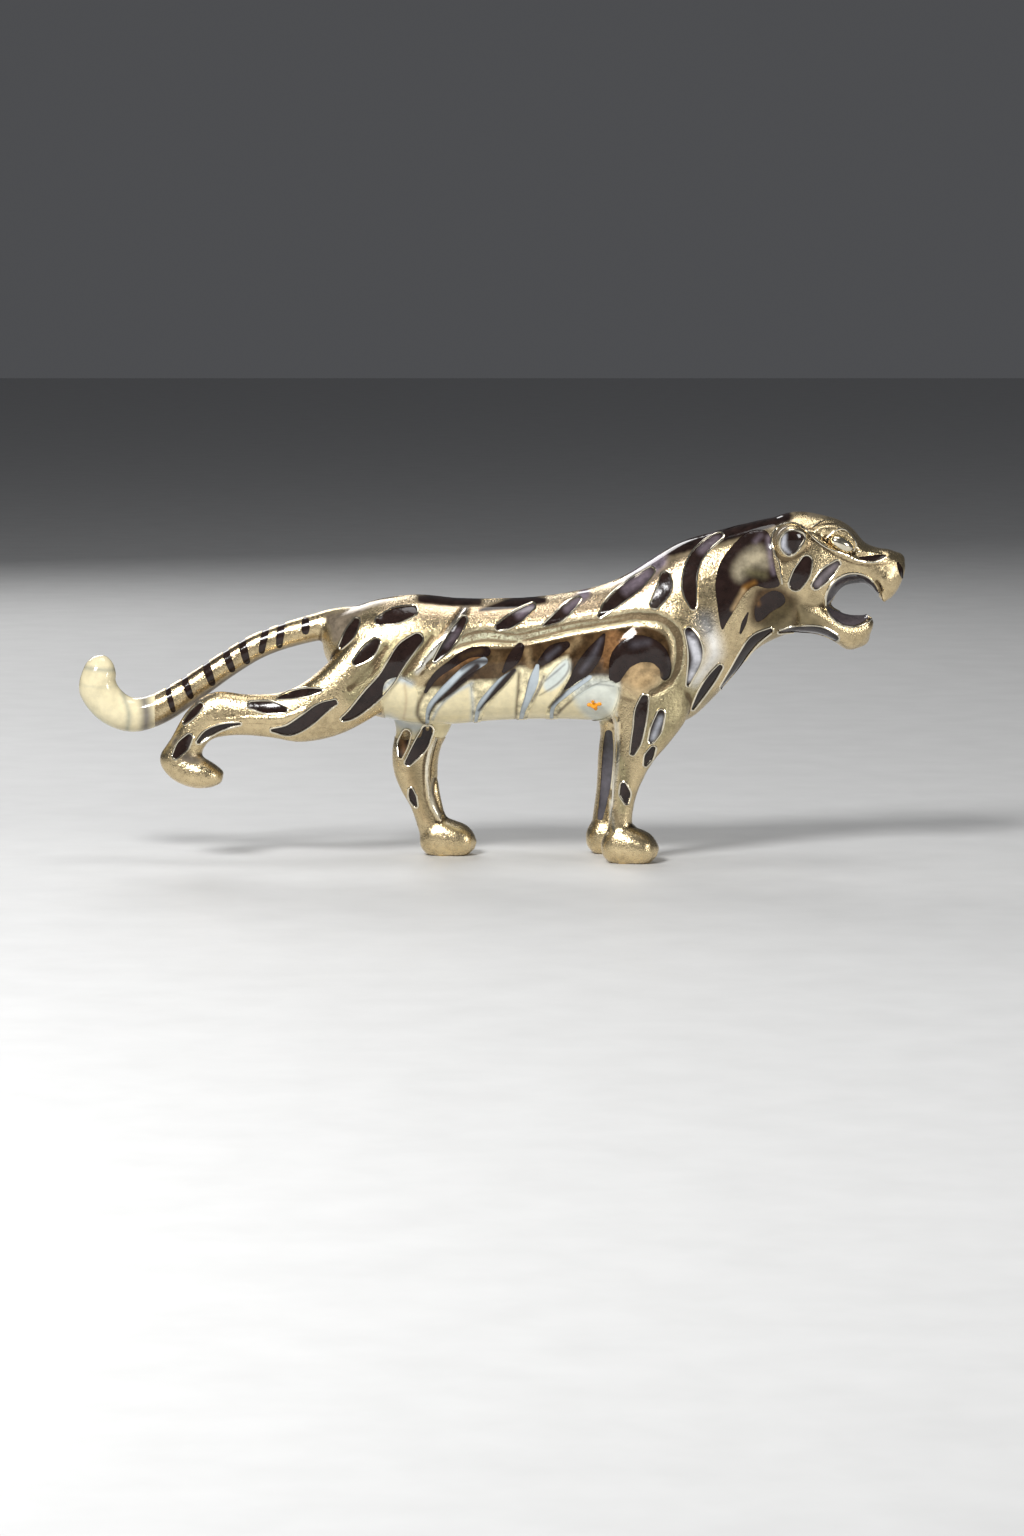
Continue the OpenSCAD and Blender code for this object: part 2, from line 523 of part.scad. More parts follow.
module head() {
    color(GOLD)
        difference() {
            as_cast()
                difference() {
                    intersection() {
                        body_form();
                        past_head_joint(true);
                    }
                    mouth(0.9);
                    cells();
                }
            for (side = SIDES) eye(side);
            head_dowel(dowel_clearance);
        }
}

module front_leg(side) {
    low = side == "right" ? [20, -FAR, 0] : [18, 0, 0];
    high = side == "right" ? [60, 0, LEG_JOINT_Z] : [60, FAR, LEG_JOINT_Z];
    color(GOLD)
        difference() {
            as_cast()
                difference() {
                    intersection() {
                        body_form();
                        block(low, high);
                    }
                    cells();
                }
            front_dowel(side, dowel_clearance);
            insert_pocket(side == "right" ? 0 : 1);
        }
}

module right_hind_leg() {
    color(GOLD)
        difference() {
            as_cast()
                difference() {
                    intersection() {
                        body_form();
                        block([-2 * FAR, -FAR, 0], [REAR_JOINT_X, FAR, 48]);
                    }
                    cells();
                }
            hind_dowel("right", dowel_clearance);
        }
}

module left_hind_leg() {
    color(GOLD)
        difference() {
            as_cast()
                difference() {
                    intersection() {
                        body_form();
                        block([-30, 0, 0], [0, FAR, LEG_JOINT_Z]);
                    }
                    cells();
                }
            hind_dowel("left", dowel_clearance);
            insert_pocket(2);
        }
}

module tail() {
    color(GOLD)
        difference() {
            as_cast()
                difference() {
                    intersection() {
                        tail_form();
                        block([TAIL_TIP_X, -FAR, 0], [REAR_JOINT_X, FAR, 2 * FAR]);
                    }
                    tail_bar_prisms();
                }
            tail_dowel(dowel_clearance);
        }
}

module tail_bar_prisms(grow = 0) {
    difference() {
        for (bar = TAIL_BARS)
            rotate([90, 0, 0])
                linear_extrude(2 * FAR, center = true) polygon(outline(bar, grow));
        tail_form(0.8);
    }
}

module tail_tip() {
    color(CREAM)
        as_cast()
            intersection() {
                tail_form();
                block([-2 * FAR, -FAR, 0], [TAIL_TIP_X, FAR, 2 * FAR]);
            }
}

module tail_stripes() {
    color(BROWN)
        as_cast()
            intersection() {
                tail_bar_prisms(-enamel_gap);
                tail_form(enamel_recess / 2);
            }
}

// Enamel in cells: the prisms, from the floor of the cell to a little under the cast surface.
module enamel(tint, depth = cell_depth) {
    color(tint)
        as_cast()
            difference() {
                intersection() {
                    children();
                    body_form(enamel_recess);
                }
                body_form(depth);
            }
}

module mouth_lining() {
    color(BROWN)
        as_cast()
            difference() {
                intersection() {
                    mouth(0.87);
                    body_form(enamel_recess);
                    block([70, -FAR, 50], [93, FAR, 80]);
                }
                mouth();
            }
}

module belly_panel(i) {
    color(CREAM)
        as_cast()
            difference() {
                intersection() {
                    wrap_prism(BELLY[i], -enamel_gap);
                    body_form(0.05);
                    block([-2 * FAR, -FAR, LEG_JOINT_Z - 3], [2 * FAR, FAR, FAR]);
                }
                body_form(belly_depth);
                if (i == 4) for (side = SIDES) side_prisms([AMBER_SPOT], side);
                for (side = SIDES) leg_roots(side);
            }
}

// Where the legs' tops are, so that no belly panel cuts into a leg.
module leg_roots(side) {
    if (side == "left") block([-26, 0, 0], [-7, FAR, LEG_JOINT_Z]);
    mirrored(side) block([20, -FAR, 0], [50, 0, LEG_JOINT_Z]);
}

module amber_spots() {
    color(AMBER)
        as_cast()
            difference() {
                intersection() {
                    for (side = SIDES) side_prisms([AMBER_SPOT], side, -enamel_gap);
                    body_form(0.05);
                }
                body_form(belly_depth - 0.5);
            }
}

module threaded_insert(i) {
    color(BRASS)
        difference() {
            insert_at(i, insert_r, insert_length);
            insert_at(i, thread_r, insert_length);
        }
}

// One of the parts that both sides have.
module side_part(side, part) {
    if (part == "eye") color(GOLD) eye(side);
    if (part == "ear_fill") enamel(BROWN) ear_prism(side, -enamel_gap);
    if (part == "snout_stripes") enamel(BROWN) side_prisms(SNOUT, side, -enamel_gap);
    if (part == "cheek_stripes") enamel(BROWN) side_prisms(CHEEK, side, -enamel_gap);
    if (part == "neck_stripes") enamel(BROWN) side_prisms(NECK, side, -enamel_gap);
    if (part == "shoulder_stripes") enamel(BROWN) side_prisms(SHOULDER, side, -enamel_gap);
    if (part == "chest_stripes") enamel(BROWN) side_prisms(CHEST, side, -enamel_gap);
    if (part == "shoulder_arch") enamel(BROWN) side_prisms(SHOULDER_ARCH, side, -enamel_gap);
    if (part == "back_stripes") enamel(BROWN) side_prisms(BACK, side, -enamel_gap);
    if (part == "flank_stripes") enamel(BROWN) side_prisms(FLANK, side, -enamel_gap);
    if (part == "belly_crests") enamel(PALE_GREY) side_prisms(CRESTS, side, -enamel_gap);
    if (part == "haunch_stripes")
        enamel(BROWN) side_prisms(haunch_cells(side), side, -enamel_gap, HAUNCH_START);
    if (part == "front_leg_stripes")
        enamel(BROWN) side_prisms(on_front_leg(FRONT_LEG, side), side, -enamel_gap, FRONT_LEG_START);
    if (part == "front_leg_panel")
        enamel(BROWN) side_prisms(on_front_leg(FRONT_LEG_PANEL, side), side, -enamel_gap, 0, FRONT_LEG_START);
    if (part == "hind_leg_stripes")
        enamel(BROWN) side_prisms(hind_leg_cells(side), side, -enamel_gap, hind_leg_start(side));
    if (part == "front_leg") front_leg(side);
    if (part == "hind_leg") {
        if (side == "right") right_hind_leg();
        else left_hind_leg();
    }
    if (part == "front_dowel") color(BRASS) front_dowel(side);
    if (part == "hind_dowel") color(BRASS) hind_dowel(side);
    if (part == "front_insert") threaded_insert(side == "right" ? 0 : 1);
}

trunk();
head();
tail();
tail_tip();
tail_stripes();
enamel(BROWN) spine_prisms(-enamel_gap);  // spine_stripes
mouth_lining();
amber_spots();
color(BRASS) head_dowel();
color(BRASS) tail_dowel();
threaded_insert(2);  // left_hind_insert
for (i = [0 : 4])
    belly_panel(i);
for (side = SIDES, part = SIDE_PARTS)
    side_part(side, part);
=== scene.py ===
"""Dresses the cast and enamelled tiger, a hood ornament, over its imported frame."""
import logging
import math
from dataclasses import dataclass, field
from enum import Enum
from typing import Iterable, Sequence

import bmesh
import bpy
import numpy as np
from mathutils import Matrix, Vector
from mathutils.bvhtree import BVHTree


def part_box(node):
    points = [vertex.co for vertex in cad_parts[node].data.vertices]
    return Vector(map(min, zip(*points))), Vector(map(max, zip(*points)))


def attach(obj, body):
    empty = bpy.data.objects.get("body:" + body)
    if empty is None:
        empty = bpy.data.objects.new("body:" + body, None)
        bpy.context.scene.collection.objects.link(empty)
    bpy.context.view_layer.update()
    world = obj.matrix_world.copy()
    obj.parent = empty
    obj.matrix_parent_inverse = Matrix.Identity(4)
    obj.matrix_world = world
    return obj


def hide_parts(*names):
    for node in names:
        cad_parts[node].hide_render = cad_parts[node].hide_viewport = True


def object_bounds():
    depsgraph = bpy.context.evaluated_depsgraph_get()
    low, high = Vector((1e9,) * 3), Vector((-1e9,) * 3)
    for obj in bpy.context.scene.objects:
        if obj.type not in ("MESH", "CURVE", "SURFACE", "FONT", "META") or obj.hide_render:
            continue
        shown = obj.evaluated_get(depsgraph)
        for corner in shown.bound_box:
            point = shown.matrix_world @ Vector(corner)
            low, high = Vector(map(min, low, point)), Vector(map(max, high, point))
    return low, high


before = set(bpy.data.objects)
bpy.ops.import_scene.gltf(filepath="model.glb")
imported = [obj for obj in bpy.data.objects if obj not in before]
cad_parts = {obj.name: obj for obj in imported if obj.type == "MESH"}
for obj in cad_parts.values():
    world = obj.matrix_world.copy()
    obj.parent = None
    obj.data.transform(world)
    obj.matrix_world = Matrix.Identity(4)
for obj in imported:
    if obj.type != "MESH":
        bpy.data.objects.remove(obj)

logging.basicConfig(level=logging.INFO, format="%(name)s: %(message)s")
LOG = logging.getLogger("tiger")

MM = 0.001
BODY = "root"
CAD_BOX = [list(corner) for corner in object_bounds()]
Point = tuple[float, ...]
Colour = tuple[float, float, float]


class Side(Enum):
    """The tiger's two sides, with the way along Y that each faces."""

    RIGHT = -1
    LEFT = 1

    @property
    def label(self) -> str:
        """The side's name as the frame's nodes start with it."""
        return self.name.lower()


class Cut(Enum):
    """What a boolean keeps."""

    AWAY = "DIFFERENCE"
    WITHIN = "INTERSECT"
    JOINED = "UNION"


# ---------------------------------------------------------------- lines and shapes in the side view


def smooth_line(points: Sequence[Point], steps: int, closed: bool = False) -> np.ndarray:
    """Runs a smooth line through points.

    Args:
        points: The points, of any number of values each.
        steps: How many stretches each gap between two points is split into.
        closed: Whether the line comes back to its start.

    Returns:
        One row for each point of the smooth line.
    """
    p = np.asarray(points, float)
    count = len(p)
    t = np.arange(steps)[:, None] / steps
    rows = []
    for i in range(count if closed else count - 1):
        if closed:
            a, b, c, d = (p[(i + k) % count] for k in (-1, 0, 1, 2))
        else:
            a, b, c, d = p[max(i - 1, 0)], p[i], p[i + 1], p[min(i + 2, count - 1)]
        bend = 2 * b + (c - a) * t + (2 * a - 5 * b + 4 * c - d) * t**2
        rows.append((bend + (3 * b - a - 3 * c + d) * t**3) / 2)
    if not closed:
        rows.append(p[-1:])
    return np.vstack(rows)


@dataclass(frozen=True)
class Line:
    """A stroke seen from the side: [x, z, half width] points along its middle, in millimetres."""

    points: Sequence[Point]

    def reach(self, x: np.ndarray, z: np.ndarray) -> np.ndarray:
        """How far outside the stroke each place is, less than zero inside it."""
        path = smooth_line(self.points, 3)
        best = np.full(len(x), 1e9)
        for (x0, z0, w0), (x1, z1, w1) in zip(path[:-1], path[1:]):
            length = (x1 - x0) ** 2 + (z1 - z0) ** 2 + 1e-12
            t = np.clip(((x - x0) * (x1 - x0) + (z - z0) * (z1 - z0)) / length, 0, 1)
            away = np.hypot(x - x0 - t * (x1 - x0), z - z0 - t * (z1 - z0))
            best = np.minimum(best, away - w0 - t * (w1 - w0))
        return best

    def outline(self, grow: float = 0.0, steps: int = 5) -> np.ndarray:
        """The stroke's closed outline with round ends, as [x, z] rows."""
        path = smooth_line(self.points, steps)
        way = np.gradient(path[:, :2], axis=0)
        way /= np.linalg.norm(way, axis=1)[:, None] + 1e-12
        out = np.column_stack([-way[:, 1], way[:, 0]]) * (path[:, 2:] + grow)
        turn = np.radians(np.arange(30, 180, 30))
        tip = self._cap(path[-1], way[-1], grow, turn)
        heel = self._cap(path[0], -way[0], grow, turn)
        return np.vstack([path[:, :2] + out, tip, (path[:, :2] - out)[::-1], heel])

    @staticmethod
    def _cap(end: np.ndarray, way: np.ndarray, grow: float, turn: np.ndarray) -> np.ndarray:
        """Points of a round end, from one edge of the stroke to the other."""
        across = np.array([-way[1], way[0]])
        r = end[2] + grow
        return end[:2] + r * (np.cos(turn)[:, None] * across + np.sin(turn)[:, None] * way)


@dataclass(frozen=True)
class Patch:
    """An area seen from the side: [x, z] points round its smooth outline, in millimetres."""

    points: Sequence[Point]

    def reach(self, x: np.ndarray, z: np.ndarray) -> np.ndarray:
        """How far outside the area each place is, less than zero inside it."""
        ring = smooth_line(self.points, 3, closed=True)
        best = np.full(len(x), 1e9)
        inside = np.zeros(len(x), bool)
        for (x0, z0), (x1, z1) in zip(ring, np.roll(ring, -1, axis=0)):
            length = (x1 - x0) ** 2 + (z1 - z0) ** 2 + 1e-12
            t = np.clip(((x - x0) * (x1 - x0) + (z - z0) * (z1 - z0)) / length, 0, 1)
            best = np.minimum(best, np.hypot(x - x0 - t * (x1 - x0), z - z0 - t * (z1 - z0)))
            crosses = (z0 > z) != (z1 > z)
            at = x0 + (z - z0) * (x1 - x0) / (z1 - z0 + 1e-12)
            inside ^= crosses & (x < at)
        return np.where(inside, -best, best)

    def outline(self, grow: float = 0.0, steps: int = 5) -> np.ndarray:
        """The area's closed outline, as [x, z] rows, wider by grow all round."""
        ring = smooth_line(self.points, steps, closed=True)
        if not grow:
            return ring
        way = np.roll(ring, -1, axis=0) - np.roll(ring, 1, axis=0)
        way /= np.linalg.norm(way, axis=1)[:, None] + 1e-12
        area = np.sum(ring[:, 0] * np.roll(ring[:, 1], -1) - np.roll(ring[:, 0], -1) * ring[:, 1])
        out = np.column_stack([way[:, 1], -way[:, 0]]) * np.sign(area)
        return ring + out * grow


Shape = Line | Patch


def soft_step(value: np.ndarray) -> np.ndarray:
    """Goes smoothly from 0 to 1 as a value goes from 0 to 1."""
    v = np.clip(value, 0, 1)
    return v * v * (3 - 2 * v)


# ---------------------------------------------------------------- modelling helpers


def clear_selection() -> None:
    """Leaves edit mode and deselects everything."""
    if bpy.context.object and bpy.context.object.mode != "OBJECT":
        bpy.ops.object.mode_set(mode="OBJECT")
    bpy.ops.object.select_all(action="DESELECT")


def pick(piece: bpy.types.Object) -> None:
    """Selects one piece alone and makes it the active one."""
    clear_selection()
    piece.select_set(True)
    bpy.context.view_layer.objects.active = piece


def swept(name: str, rings: Sequence[np.ndarray]) -> bpy.types.Object:
    """A closed solid, swept by extruding a face from one ring of points to the next.

    Args:
        name: The piece's name.
        rings: Rings of equally many [x, y, z] points, in millimetres.

    Returns:
        The new piece.
    """
    clear_selection()
    bpy.ops.mesh.primitive_circle_add(vertices=len(rings[0]), radius=MM, fill_type="NGON")
    piece = bpy.context.object
    piece.name = name
    bpy.ops.object.mode_set(mode="EDIT")
    mesh = bmesh.from_edit_mesh(piece.data)
    last = [Vector(p) * MM for p in rings[0]]
    for vert, place in zip(mesh.verts, last):
        vert.co = place
    for ring in rings[1:]:
        bpy.ops.mesh.extrude_region()
        mesh = bmesh.from_edit_mesh(piece.data)
        known = {tuple(round(c, 9) for c in v.co): v for v in mesh.verts if v.select}
        ahead = [Vector(p) * MM for p in ring]
        keys = [tuple(round(c, 9) for c in Vector(p)) for p in last]
        moved = [known[key] for key in keys]
        for vert, place in zip(moved, ahead):
            vert.co = place
        last = [v.co.copy() for v in moved]
    bpy.ops.mesh.select_all(action="SELECT")
    bpy.ops.mesh.normals_make_consistent(inside=False)
    bpy.ops.object.mode_set(mode="OBJECT")
    return piece


def ball(name: str, centre: Point, radii: Point, turn: Point = (0, 0, 0), segments: int = 32) -> bpy.types.Object:
    """A rounded lump: a sphere drawn out along its axes, turned and placed.

    Args:
        name: The piece's name.
        centre: Its middle, in millimetres.
        radii: Its reach along its own three axes, in millimetres.
        turn: Its turn about X, Y and Z, in degrees.
        segments: How many faces there are round it.

    Returns:
        The new piece.
    """
    clear_selection()
    bpy.ops.mesh.primitive_uv_sphere_add(
        segments=segments, ring_count=segments // 2, radius=1.0,
        location=Vector(centre) * MM, rotation=[math.radians(a) for a in turn])
    piece = bpy.context.object
    piece.name = name
    piece.scale = Vector(radii) * MM
    bpy.ops.object.transform_apply(location=True, rotation=True, scale=True)
    return piece


def box(name: str, low: Point, high: Point) -> bpy.types.Object:
    """A plain block for cutting with.

    Args:
        name: The block's name.
        low: Its lowest corner, in millimetres.
        high: Its highest corner, in millimetres.

    Returns:
        The new block.
    """
    low, high = Vector(low) * MM, Vector(high) * MM
    clear_selection()
    bpy.ops.mesh.primitive_cube_add(size=1.0, location=(low + high) / 2)
    piece = bpy.context.object
    piece.name = name
    piece.scale = high - low
    bpy.ops.object.transform_apply(location=True, rotation=True, scale=True)
    return piece


def prism(name: str, outline: np.ndarray, y0: float, y1: float) -> bpy.types.Object:
    """A prism over a side-view outline.

    Args:
        name: The prism's name.
        outline: The outline as [x, z] rows, in millimetres.
        y0: The distance across the tiger where the prism starts.
        y1: The distance across the tiger where it ends.

    Returns:
        The new prism.
    """
    ends = [np.column_stack([outline[:, 0], np.full(len(outline), y), outline[:, 1]]) for y in (y0, y1)]
    return swept(name, ends)


def copy_of(piece: bpy.types.Object, name: str) -> bpy.types.Object:
    """A copy of a piece with its own mesh."""
    twin = piece.copy()
    twin.data = piece.data.copy()
    twin.name = name
    bpy.context.scene.collection.objects.link(twin)
    return twin


def joined(name: str, pieces: Sequence[bpy.types.Object]) -> bpy.types.Object:
    """Several pieces made one mesh.

    Args:
        name: The name of the piece that they become.
        pieces: The pieces, one or more.

    Returns:
        The one piece.
    """
    clear_selection()
    for piece in pieces:
        piece.select_set(True)
    bpy.context.view_layer.objects.active = pieces[0]
    if len(pieces) > 1:
        bpy.ops.object.join()
    pieces[0].name = name
    return pieces[0]


def drop(*pieces: bpy.types.Object) -> None:
    """Removes pieces that were only there to build others."""
    for piece in pieces:
        bpy.data.objects.remove(piece, do_unlink=True)


def modify(piece: bpy.types.Object, kind: str, **settings: object) -> None:
    """Adds a modifier and applies it.

    Args:
        piece: The piece to modify.
        kind: Blender's word for the modifier.
        settings: The modifier's settings.
    """
    pick(piece)
    modifier = piece.modifiers.new(kind.lower(), kind)
    for key, value in settings.items():
        setattr(modifier, key, value)
    bpy.ops.object.modifier_apply(modifier=modifier.name)


def drop_crumbs(piece: bpy.types.Object) -> None:
    """Deletes the crumbs that a cut leaves loose, and keeps the piece's largest island.

    Args:
        piece: The piece to clean.
    """
    mesh = bmesh.new()
    mesh.from_mesh(piece.data)
    mesh.faces.ensure_lookup_table()
    seen = [False] * len(mesh.faces)
    islands: list[list[bmesh.types.BMFace]] = []
    for first in mesh.faces:
        if seen[first.index]:
            continue
        seen[first.index] = True
        island = [first]
        for face in island:
            for edge in face.edges:
                for other in edge.link_faces:
                    if not seen[other.index]:
                        seen[other.index] = True
                        island.append(other)
        islands.append(island)
    islands.sort(key=len)
    crumbs = [face for island in islands[:-1] for face in island]
    bmesh.ops.delete(mesh, geom=crumbs, context="FACES")
    mesh.to_mesh(piece.data)
    mesh.free()


def carve(piece: bpy.types.Object, tool: bpy.types.Object, cut: Cut) -> None:
    """Cuts a piece with a tool, which stays as it is."""
    modify(piece, "BOOLEAN", operation=cut.value, solver="MANIFOLD", object=tool)


def places(piece: bpy.types.Object) -> np.ndarray:
    """The places of a piece's vertices, in millimetres."""
    out = np.empty(len(piece.data.vertices) * 3)
    piece.data.vertices.foreach_get("co", out)
    return out.reshape(-1, 3) / MM


def normals(piece: bpy.types.Object) -> np.ndarray:
    """The ways that a piece's vertices face."""
    out = np.empty(len(piece.data.vertices) * 3)
    piece.data.vertex_normals.foreach_get("vector", out)
    return out.reshape(-1, 3)


def put(piece: bpy.types.Object, at: np.ndarray) -> None:
    """Moves a piece's vertices to places in millimetres."""
    piece.data.vertices.foreach_set("co", (at * MM).ravel())
    piece.data.update()


def smooth_shade(piece: bpy.types.Object, degrees: float = 40.0) -> None:
    """Shades a piece smooth but for its sharp edges."""
    pick(piece)
    bpy.ops.object.shade_smooth_by_angle(angle=math.radians(degrees))


def tube(name: str, path: np.ndarray, radius: float, closed: bool) -> bpy.types.Object:
    """A thin wire.

    Args:
        name: The wire's name.
        path: The [x, y, z] points along it, in millimetres.
        radius: Half its thickness, in millimetres.
        closed: Whether it comes back to its start.

    Returns:
        The new wire.
    """
    curve = bpy.data.curves.new(name, "CURVE")
    curve.dimensions = "3D"
    curve.bevel_depth = radius * MM
    curve.bevel_resolution = 2
    curve.use_fill_caps = True
    line = curve.splines.new("POLY")
    line.points.add(len(path) - 1)
    flat = np.column_stack([path * MM, np.ones(len(path))])
    line.points.foreach_set("co", flat.ravel())
    line.use_cyclic_u = closed
    piece = bpy.data.objects.new(name, curve)
    bpy.context.scene.collection.objects.link(piece)
    pick(piece)
    bpy.ops.object.convert(target="MESH")
    return bpy.context.object


# ---------------------------------------------------------------- the form that every casting is cut from

# A rib is x1, z1, x2, z2, half width, y: an oval across the form, from point 1 to point 2 in the side
# view and half width to each side of y.
TRUNK = (
    (-41, 57, -40, 49, 3, 0), (-38, 58.6, -37.5, 44, 7, 0), (-33.5, 60.2, -32.5, 36.5, 10.8, 0),
    (-27, 62.2, -27, 34, 12.8, 0), (-18, 63.4, -18, 32.3, 12.9, 0), (-9, 62.6, -9, 32.1, 12.2, 0),
    (0, 62.4, 0, 32.9, 11.8, 0), (10, 62.8, 10, 33.3, 11.9, 0), (19, 64, 20, 33.2, 12.5, 0),
    (27, 65.8, 30, 32.6, 13.2, 0), (33, 68.6, 40, 31.8, 13.5, 0), (39, 72.4, 47.2, 33.4, 13, 0),
    (45, 75.9, 52.8, 38.2, 11.9, 0), (51, 77.8, 57.8, 43.8, 10.8, 0), (57.5, 79.6, 63.2, 50, 9.8, 0),
    (64, 81.2, 69, 53.2, 9.5, 0), (69.6, 82.2, 73.6, 54.6, 9.6, 0),
)
SKULL = (
    (66.5, 81.4, 70.5, 54.2, 9.2, 0), (70.5, 82.9, 74.5, 54.7, 9.9, 0), (74.5, 83.2, 77.5, 55.6, 9.9, 0),
    (79, 82.4, 80.5, 60.5, 9, 0), (83.5, 81, 84, 65, 7.9, 0), (86.6, 78.8, 86.8, 65.6, 6.9, 0),
    (89.2, 75.8, 89.2, 65.8, 6, 0), (92.5, 74.5, 92, 63.4, 5.5, 0), (95.8, 74, 94.2, 61.6, 4.9, 0),
    (98.2, 72, 96.8, 64, 3.6, 0), (99, 70, 98.4, 67.4, 1.8, 0),
)
JAW = (
    (73, 66, 73, 54.2, 9.3, 0), (77.5, 64, 77.5, 53.9, 8.4, 0), (81.5, 60.5, 81.5, 52.4, 7, 0),
    (85, 58.8, 85, 50.1, 5.8, 0), (88, 58.6, 88, 50.7, 4.8, 0), (90.4, 58.4, 90.2, 53.2, 3.6, 0),
    (91.4, 56.9, 91.2, 55.4, 1.8, 0),
)
RIGHT_HIND_LEG = (
    (-24, 37, -27, 60, 6, -6.6), (-33, 31.8, -33.5, 53.5, 6, -7.4), (-39.5, 29.5, -38.6, 48, 5.4, -8.2),
    (-46, 28.7, -44, 43.4, 4.7, -8.5), (-52, 29.7, -50, 40.6, 4.1, -8.4), (-58.5, 30.3, -58, 40.1, 3.8, -8.2),
    (-64, 30, -66, 40.7, 3.7, -7.9), (-67, 29, -72, 36.8, 3.6, -7.8), (-68.6, 27, -76.4, 29.5, 3.6, -7.8),
    (-69, 25.6, -79.2, 24.6, 3.9, -7.9), (-68.6, 25, -76.5, 20.1, 4.5, -8), (-67.6, 24.4, -71.5, 17.8, 5, -8),
    (-65.6, 23.1, -67, 17.8, 4.6, -8), (-63.8, 21.6, -64.2, 19, 2.6, -8),
)
LEFT_HIND_LEG = (
    (-7, 47, -29, 49, 5.6, 6.4), (-7.6, 38, -27, 39, 5.6, 6.6), (-9.6, 31, -23.4, 31.4, 5.1, 6.4),
    (-12.2, 26, -24, 25.4, 4.5, 6.1), (-13, 20.5, -23.7, 20.4, 4, 5.9), (-12.6, 16, -21.9, 15.6, 3.6, 5.8),
    (-11.8, 12, -19.4, 11.2, 3.4, 5.8), (-10.6, 8, -17.6, 5.6, 3.6, 5.8),
)
RIGHT_FRONT_LEG = (
    (46.5, 44, 27, 48, 5.4, -7.6), (47, 35.6, 28.4, 36, 5.3, -8.2), (42.6, 28.8, 29.6, 30, 4.8, -8.6),
    (38.8, 24.4, 29.1, 24.8, 4.3, -8.8), (36, 19.6, 28.9, 19.8, 3.9, -8.9), (34.3, 15, 28.6, 15, 3.5, -8.9),
    (33.6, 11, 28, 10.6, 3.4, -8.9), (33.6, 8, 27.4, 5.6, 3.6, -8.9),
)
# The left front leg is the right one mirrored and set back.
LEFT_FRONT_SET_BACK = 3.4
PAW = (
    (0, 5, 0.1, 2, 2, 0), (1.8, 8, 1.8, 0, 4.1, 0), (5, 9.2, 5, -0.9, 5, 0), (8.6, 8.2, 8.6, -0.9, 5.4, 0),
    (11.6, 6.9, 11.6, -0.3, 4.9, 0), (13.2, 4.9, 13.1, 2.4, 2.6, 0),
)
# Each standing paw's heel and turn: x, y, degrees.
PAWS = ((26.2, -8.9, -4), (22.8, 8.9, 4), (-17.4, 5.8, 3))
# How far each toe is from the middle of its paw, and the toes' reach along, across and up
TOES_ACROSS = (-3.3, -1.15, 1.15, 3.3)
TOE_RADII = (1.9, 1.25, 2.5)
# The tail's tube: x, z, radius.
TAIL = (
    (-30, 57.2, 3.6), (-37, 56.6, 3.5), (-43, 55.2, 3.25), (-49.5, 53.4, 3.1), (-56.5, 50.7, 3.1),
    (-64.2, 46, 3.2), (-72, 40.6, 3.45), (-79.6, 36, 3.8), (-86, 34.4, 4.15), (-91.2, 36.6, 4.45),
    (-94.4, 41, 4.6), (-93.8, 45, 4), (-93.2, 47.6, 2.6), (-92.9, 48.8, 0.8),
)
SECTION_SIDES = 40
# The power that makes a section fuller than an ellipse, whose own would be 1
SECTION_FULLNESS = 0.92
STEPS_PER_RIB = 4


def ring_of(rib: Sequence[float]) -> np.ndarray:
    """The ring of points that a rib stands for, a little fuller than an ellipse.

    Args:
        rib: The rib's x1, z1, x2, z2, half width and y.

    Returns:
        The ring as [x, y, z] rows, in millimetres.
    """
    turn = np.linspace(0, 2 * np.pi, SECTION_SIDES, endpoint=False)
    full = lambda c: np.sign(c) * np.abs(c) ** SECTION_FULLNESS
    x1, z1, x2, z2, half, y = rib
    up, out = full(np.cos(turn)), full(np.sin(turn))
    return np.column_stack([
        (x1 + x2) / 2 + (x1 - x2) / 2 * up, y + half * out, (z1 + z2) / 2 + (z1 - z2) / 2 * up])


def loft(name: str, ribs: Sequence[Point]) -> bpy.types.Object:
    """A closed skin over a smooth run of ribs."""
    return swept(name, [ring_of(rib) for rib in smooth_line(ribs, STEPS_PER_RIB)])


def tube_ribs(path: Sequence[Point]) -> list[Point]:
    """The ribs of a round tube.

    Args:
        path: The [x, z, radius] points along its middle, in millimetres.

    Returns:
        One rib for each point.
    """
    p = np.asarray(path, float)
    way = np.gradient(p[:, :2], axis=0)
    way /= np.linalg.norm(way, axis=1)[:, None]
    out = np.column_stack([-way[:, 1], way[:, 0]]) * p[:, 2:]
    return [(*(q[:2] + o), *(q[:2] - o), q[2], 0.0) for q, o in zip(p, out)]


@dataclass(frozen=True)
class Relief:
    """A ridge or hollow that is raised or sunk in the form, on one side of the tiger or both."""

    shape: Shape
    height: float
    soft: float = 1.0
    side: Side | None = None

    def lift(self, at: np.ndarray, facing: np.ndarray) -> np.ndarray:
        """How far each vertex moves outwards."""
        rise = self.height * soft_step(0.5 - self.shape.reach(at[:, 0], at[:, 2]) / self.soft)
        return rise * on_side(at, facing, self.side)


def on_side(at: np.ndarray, facing: np.ndarray, side: Side | None) -> np.ndarray:
    """How far each vertex belongs to a side.

    Args:
        at: The vertices' places.
        facing: The ways that they face.
        side: The side, or nothing for the tiger all round.

    Returns:
        1 for a vertex that faces outwards on the side, and 0 elsewhere.
    """
    if side is None:
        return np.ones(len(at))
    return soft_step(facing[:, 1] * side.value * 2.5 + 0.2) * (at[:, 1] * side.value > -0.5)


